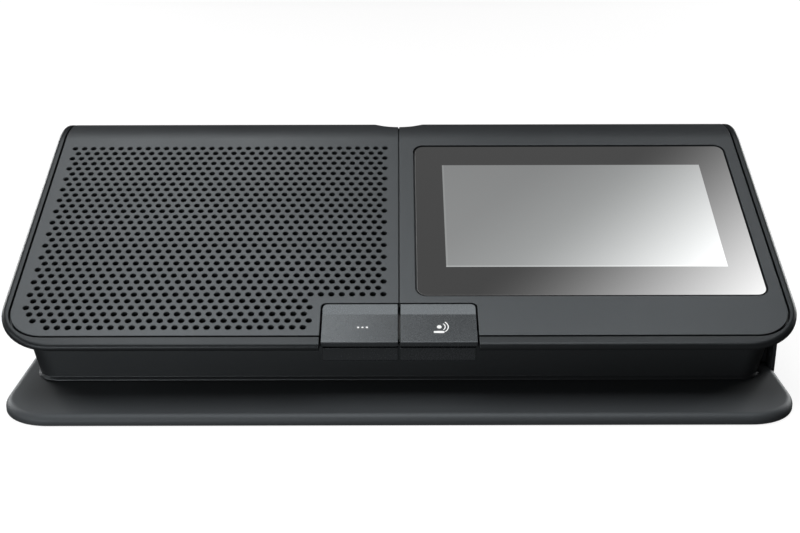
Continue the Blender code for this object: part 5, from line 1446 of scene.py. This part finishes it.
def screw(name, shank, head, length):
    """An upright screw whose head's upper side lies at the origin, with the shank above it."""
    piece = peg(name, 0, 0, (-HEAD_HEIGHT, 0), head, sides=20)
    round_edges(piece, lambda m, d: m.z < TINY - HEAD_HEIGHT, HEAD_ROUND, segments=3)
    edit(piece)
    pick_faces(piece, facing(UP))
    bpy.ops.mesh.inset(thickness=head - shank)
    height, wide = 0.0, True
    while height + RIDGE < length:
        pull((0, 0, RIDGE))
        widen(RIDGE_DEPTH if wide else 1 / RIDGE_DEPTH)
        height, wide = height + RIDGE, not wide
    pull((0, 0, length - height))
    widen(TIP)
    done()
    reach = head * RECESS_REACH
    for x, y in ((reach, RECESS_WIDTH), (RECESS_WIDTH, reach)):
        cut(piece, upright("recess", (-x, x), (-y, y), (-HEAD_HEIGHT - PROUD, -HEAD_HEIGHT * RECESS_DEPTH)))
    smooth(piece)
    return piece


zinc = grained("zinc_plate", (0.34, 0.35, 0.36, 1), (0.60, 0.62, 0.65, 1), 0.0012, 0.39, 0.00001,
               swing=0.22, detail=5.0, Metallic=1.0)
for group, (shank, head) in SHANKS.items():
    box_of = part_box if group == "base" else sheet_box
    low, high = box_of(group + "_screw_1")
    model = screw("screw_model", shank, head, high.z - low.z - HEAD_HEIGHT)
    for name in screw_names(group):
        low, high = box_of(name)
        place = Vector(((low.x + high.x) / 2, (low.y + high.y) / 2, low.z + HEAD_HEIGHT))
        if group == "base":
            piece = moved_copy(model, name + "_thread", place)
        else:
            piece = moved_copy(model, name + "_thread", Vector())
            lean_on_sheet(on_sheet(*place))
            settle()
        place_on(piece, zinc, "unit", "zinc_steel", name)
    bpy.data.objects.remove(model)

# %% [markdown]
# ## The microphone socket
#
# At the bottom of the well sits the socket that takes the microphone's plug: a dark moulded cup, and in it
# a disc with five contacts and a key that lets the plug in only one way round. The CAD's cup is a ring of
# 32 facets. It is turned again here from a cylinder of 64 sides, bored out, and trimmed to the ridge by a
# piece of the same rolled sheet as the plates.

# %% Cup
CUP_WALL = 0.0011
CUP_FLOOR = 0.0015
CUP_SINK = 0.0012
LEAD_HOLE = 0.0018
cup_low, cup_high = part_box("mic_well_cup")
cup_radius = (cup_high.x - cup_low.x) / 2

cup = peg("mic_well_cup_liner", 0, well_y, (cup_low.z, ridge_z), cup_radius, WELL_SIDES)
cut(cup, peg("bore", 0, well_y, (cup_low.z + CUP_FLOOR, ridge_z + PROUD), cup_radius - CUP_WALL, WELL_SIDES),
    peg("lead_hole", 0, well_y, (cup_low.z - PROUD, ridge_z), LEAD_HOLE, sides=16),
    rolled("cup_trim", (-cup_radius * 2, cup_radius * 2), flat_length - FAR, (-CUP_SINK, FAR), PLATE_TURN))
ease(cup, width=0.00015)
socket_plastic = plastic("socket_black", 0.014, 0.30, tone=0.08)
place_on(cup, socket_plastic, "unit", "socket_plastic", "mic_well_cup")

# %% Insert with five contacts
PINS = 5
PIN_RADIUS = 0.0007
PIN_CIRCLE = 0.0045
PIN_SIDES = 16
PIN_FLOOR = 0.0018
SLEEVE_WALL = 0.00022
SLEEVE_FIT = 0.00003
SLEEVE_SINK = 0.0003
SLEEVE_FLOOR = 0.0003
KEYWAY = 0.0011
KEYWAY_DEPTH = 0.002
insert_low, insert_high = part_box("mic_socket_insert")
insert_radius = (insert_high.x - insert_low.x) / 2
pin_low, pin_high = insert_low.z + PIN_FLOOR, insert_high.z + PROUD

insert = peg("mic_socket_disc", 0, well_y, (insert_low.z, insert_high.z), insert_radius, sides=48)
sleeves = []
for number in range(PINS):
    angle = 2 * pi * (number + 0.5) / (PINS + 1) - pi / 2
    x, y = PIN_CIRCLE * cos(angle), well_y + PIN_CIRCLE * sin(angle)
    cut(insert, peg("pin_hole", x, y, (pin_low, pin_high), PIN_RADIUS, PIN_SIDES))
    sleeve = peg("sleeve", x, y, (pin_low, insert_high.z - SLEEVE_SINK), PIN_RADIUS - SLEEVE_FIT, PIN_SIDES)
    cut(sleeve, peg("bore", x, y, (pin_low + SLEEVE_FLOOR, pin_high), PIN_RADIUS - SLEEVE_WALL, PIN_SIDES))
    sleeves.append(sleeve)
cut(insert, upright("keyway", (-KEYWAY, KEYWAY),
                    (well_y + insert_radius - KEYWAY, well_y + insert_radius * 2),
                    (insert_high.z - KEYWAY_DEPTH, insert_high.z + PROUD)))
ease(insert, width=0.00012)
insert_plastic = plastic("socket_disc", 0.020, 0.38, tone=0.08)
place_on(insert, insert_plastic, "unit", "contact_insert", "mic_socket_insert")
gold = Finish("gold_contact", Metallic=1.0)
wear = gold.noise(gold.place(), 0.0006, detail=3.0)
gold.colour(gold.mix(wear, (0.72, 0.48, 0.16, 1), (0.90, 0.66, 0.28, 1)))
gold.roughness(0.18 + wear * 0.2)
contacts = join_all("mic_socket_contacts", sleeves)
smooth(contacts)
place_on(contacts, gold, "unit", "contact_insert")

# %% [markdown]
# ## The two chain sockets
#
# At the back there is a pair of eight-way sockets, by which the units of a row are joined. Each is a moulded
# box with a stepped port. Its contacts are eight gilt wires, which come down at a slant from the roof of the
# port. One wire is a thin block whose inner end is moved down, and an Array modifier repeats it.

# %% Sockets
WIRES = 8
WIRE_PITCH = 0.00102
WIRE_WIDTH = 0.00034
WIRE_THICK = 0.00024
WIRE_MOUTH = 0.0025
WIRE_BEND = 0.004
WIRE_DROP = 0.0042
PORT_TOP = 0.0118
PORT_DEPTH = 0.0125

for node in ("chain_jack_in", "chain_jack_out"):
    low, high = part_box(node)
    housing = eased_copy(node, node + "_housing", width=0.00015)
    place_on(housing, socket_plastic, "unit", "socket_plastic", node)
    middle_x = (low.x + high.x) / 2
    left = middle_x - WIRE_PITCH * (WIRES - 1) / 2
    roof = low.z + PORT_TOP
    wire = upright(node + "_contacts", (left - WIRE_WIDTH / 2, left + WIRE_WIDTH / 2),
                   (high.y - PORT_DEPTH, high.y - WIRE_MOUTH), (roof - WIRE_THICK, roof))
    edit(wire)
    bpy.ops.mesh.select_all(action="SELECT")
    bpy.ops.mesh.bisect(plane_co=(0, high.y - WIRE_BEND, 0), plane_no=REARWARDS)
    pick_faces(wire, facing(-REARWARDS))
    bpy.ops.transform.translate(value=(0, 0, -WIRE_DROP))
    done()
    repeat(wire, WIRES, (WIRE_PITCH, 0, 0))
    place_on(wire, gold, "unit", "socket_plastic")

# %% [markdown]
# ## The headphone socket
#
# On the right side a round collar stands in the pod, bored for a 3.5 mm plug. The CAD has it with twelve
# sides. Here the collar is a fine cylinder along x on a small block, bored, with its mouth eased.

# %% Headphone socket
COLLAR = 0.0031
COLLAR_ROOT = 0.0005
PLUG_BORE = 0.00175
BORE_FLOOR = 0.0035
BODY_END = 0.1227
plug_low, plug_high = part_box("headphone_jack")
plug_middle = (plug_low + plug_high) / 2


def spindle(name, x, radius, sides=40):
    """A cylinder along x through the middle of the headphone socket."""
    return cylinder(name, (sum(x) / 2, plug_middle.y, plug_middle.z), x, radius, sides, (0, pi / 2, 0))


jack = upright("headphone_jack_body", (plug_low.x, BODY_END), (plug_low.y, plug_high.y),
               (plug_low.z, plug_high.z))
cut(jack, spindle("collar", (BODY_END - COLLAR_ROOT, plug_high.x), COLLAR), operation="UNION")
cut(jack, spindle("plug_bore", (plug_low.x + BORE_FLOOR, plug_high.x + PROUD), PLUG_BORE))
ease(jack, width=0.00018)
place_on(jack, socket_plastic, "unit", "socket_plastic", "headphone_jack")

# %% [markdown]
# ## Inside the loudspeaker
#
# The cone hangs in a rubber surround, a half roll that lets it move, and is centred below by a corrugated
# cloth spider. Neither can be seen through the plate, but both are soft, so their plain CAD rings are
# replaced by their real forms. The surround is the upper half of a torus. The spider is a circle of edges
# that is extruded outwards in small steps, up and down in turn.

# %% Surround
SURROUND_WIDTH = 0.0037
SHEET_OF_RUBBER = 0.0006
speaker_low, speaker_high = sheet_box("speaker_surround")
speaker_x = (speaker_low.x + speaker_high.x) / 2
speaker_s = (speaker_low.y + speaker_high.y) / 2
surround_outer = (speaker_high.x - speaker_low.x) / 2
surround_n = speaker_low.z + SHEET_OF_RUBBER
roll_radius = SURROUND_WIDTH / 2
rise = (speaker_high.z - surround_n) / roll_radius

bpy.ops.mesh.primitive_torus_add(major_segments=72, minor_segments=20,
                                 major_radius=surround_outer - roll_radius, minor_radius=roll_radius)
surround = bpy.context.object
surround.name = surround.data.name = "speaker_surround_roll"
edit(surround)
bpy.ops.mesh.select_all(action="SELECT")
bpy.ops.mesh.bisect(plane_co=(0, 0, 0), plane_no=UP, clear_inner=True)
bpy.ops.mesh.select_all(action="SELECT")
bpy.ops.transform.resize(value=(1, 1, rise), center_override=(0, 0, 0))
lean_on_sheet(on_sheet(speaker_x, speaker_s, surround_n))
done()
apply(surround, "SOLIDIFY", thickness=SHEET_OF_RUBBER, offset=-1)
smooth(surround)
place_on(surround, rubber, "unit", "rubber", "speaker_surround")

# %% Spider
SPIDER_INNER = 0.0088
SPIDER_STEPS = 16
SPIDER_WAVES = 4
SPIDER_PHASE = 0.4
SPIDER_CLOTH = 0.0006
spider_low, spider_high = sheet_box("speaker_spider")
spider_outer = (spider_high.x - spider_low.x) / 2
spider_n = (spider_low.z + spider_high.z) / 2
wave_height = (spider_high.z - spider_low.z - SPIDER_CLOTH) / 2

bpy.ops.mesh.primitive_circle_add(vertices=64, radius=SPIDER_INNER)
spider = bpy.context.object
spider.name = spider.data.name = "speaker_spider_waves"
edit(spider)
bpy.ops.mesh.select_mode(type="EDGE")
bpy.ops.mesh.select_all(action="SELECT")
radius, height = SPIDER_INNER, 0.0
for step in range(1, SPIDER_STEPS + 1):
    wider = SPIDER_INNER + (spider_outer - SPIDER_INNER) * step / SPIDER_STEPS
    wave = wave_height * sin(2 * pi * SPIDER_WAVES * step / SPIDER_STEPS + SPIDER_PHASE)
    pull((0, 0, wave - height))
    widen(wider / radius)
    radius, height = wider, wave
bpy.ops.mesh.select_all(action="SELECT")
bpy.ops.mesh.normals_make_consistent(inside=False)
lean_on_sheet(on_sheet(speaker_x, speaker_s, spider_n))
done()
apply(spider, "SOLIDIFY", thickness=SPIDER_CLOTH, offset=0)
smooth(spider)
resin_cloth = Finish("resin_cloth", Roughness=0.8)
fibre = resin_cloth.noise(resin_cloth.place(), 0.0004, detail=5.0)
resin_cloth.colour(resin_cloth.mix(fibre, (0.24, 0.15, 0.05, 1), (0.42, 0.29, 0.12, 1)))
resin_cloth.bump(fibre, 0.00006)
place_on(spider, resin_cloth, "unit", "spider_cloth", "speaker_spider")

# %% [markdown]
# ## Finishes for the parts inside
#
# The rest of the inside keeps its CAD solids: boards, leads, magnet and brackets. None of it shows in the
# photograph but the key board, in the gap between the keys. The unit can be opened, so each has the finish of
# what it is made of; the key board's black is its own mask and also painted shade for that gap.

# %% Circuit board and ribbon
TRACE = 0.0011
RIBBON_WIRE = 0.0010


def stripes(finish, place, pitch, share):
    """Fine lines along y, as wires or traces, one where they are and zero between them."""
    x = finish.axes(place)[0]
    return (x % pitch) < pitch * share


mask = Finish("solder_mask")
place = mask.place()
wander = mask.noise(place, 0.009, detail=1.0)
shifted = mask.node("ShaderNodeVectorMath", {"operation": "ADD"}, {0: place, 1: wander * 0.004})
lines = stripes(mask, shifted, TRACE, 0.4) * (wander > 0.5)
mask.colour(mask.mix(lines, (0.006, 0.060, 0.028, 1), (0.012, 0.110, 0.050, 1)))
mask.roughness(0.30 + wander * 0.12)
mask.bump(lines, 0.00003)

film = Finish("amber_film", Roughness=0.3)
wires = stripes(film, film.place(), RIBBON_WIRE, 0.55)
film.colour(film.mix(wires, (0.30, 0.15, 0.03, 1), (0.46, 0.26, 0.07, 1)))
film.bump(wires, 0.00004)

# %% Metals, paper, foam and magnet
COIL_WIRE = 0.00035

paper = grained("black_paper", grey(0.012), grey(0.040), 0.0008, 0.85, 0.00008)
foam = grained("black_foam", grey(0.006), grey(0.030), 0.0003, 0.95, 0.00015)
ferrite = grained("ferrite", grey(0.035), grey(0.075), 0.0010, 0.6)
basket_paint = grained("basket_paint", grey(0.07), grey(0.11), 0.0006, 0.5)
sheet_steel = grained("sheet_steel", grey(0.38), grey(0.56), 0.0005, 0.36, 0.00001, Metallic=1.0)
jacket = grained("lead_jacket", grey(0.010), grey(0.022), 0.0005, 0.45)
# Painted shade in part: the key board is near-black so that the gap between the keys reads dark.
black_mask_and_gap_shade = grained("black_mask_painted_gap_shade", grey(0.006), grey(0.014), 0.0020, 0.40)
display_metal = grained("display_frame", grey(0.24), grey(0.36), 0.0006, 0.4)
copper = Finish("copper_wire", Metallic=1.0, Roughness=0.3)
turns = copper.axes(copper.place())[2].wave(COIL_WIRE)
copper.colour(copper.mix(turns * 0.5 + 0.5, (0.42, 0.16, 0.06, 1), (0.70, 0.32, 0.15, 1)))
copper.bump(turns, 0.00005)

INSIDE = {
    mask: ["main_board", "side_board"],
    black_mask_and_gap_shade: ["key_board"],
    film: ["display_ribbon", "key_ribbon"],
    paper: ["speaker_cone"],
    foam: ["speaker_gasket"],
    ferrite: ["speaker_magnet"],
    basket_paint: ["speaker_basket"],
    sheet_steel: ["lcd_bracket"],
    zinc: ["speaker_top_plate", "speaker_yoke"],
    jacket: ["speaker_lead", "mic_lead"],
    display_metal: ["lcd_panel"],
    copper: ["voice_coil"],
    socket_plastic: ["key_switch_left", "key_switch_right", "volume_switch_up", "volume_switch_down"],
}
for look, names in INSIDE.items():
    for name in names:
        for slot in nodes[name].material_slots:
            slot.material = look.material
print(sum(len(names) for names in INSIDE.values()), "CAD pieces dressed")
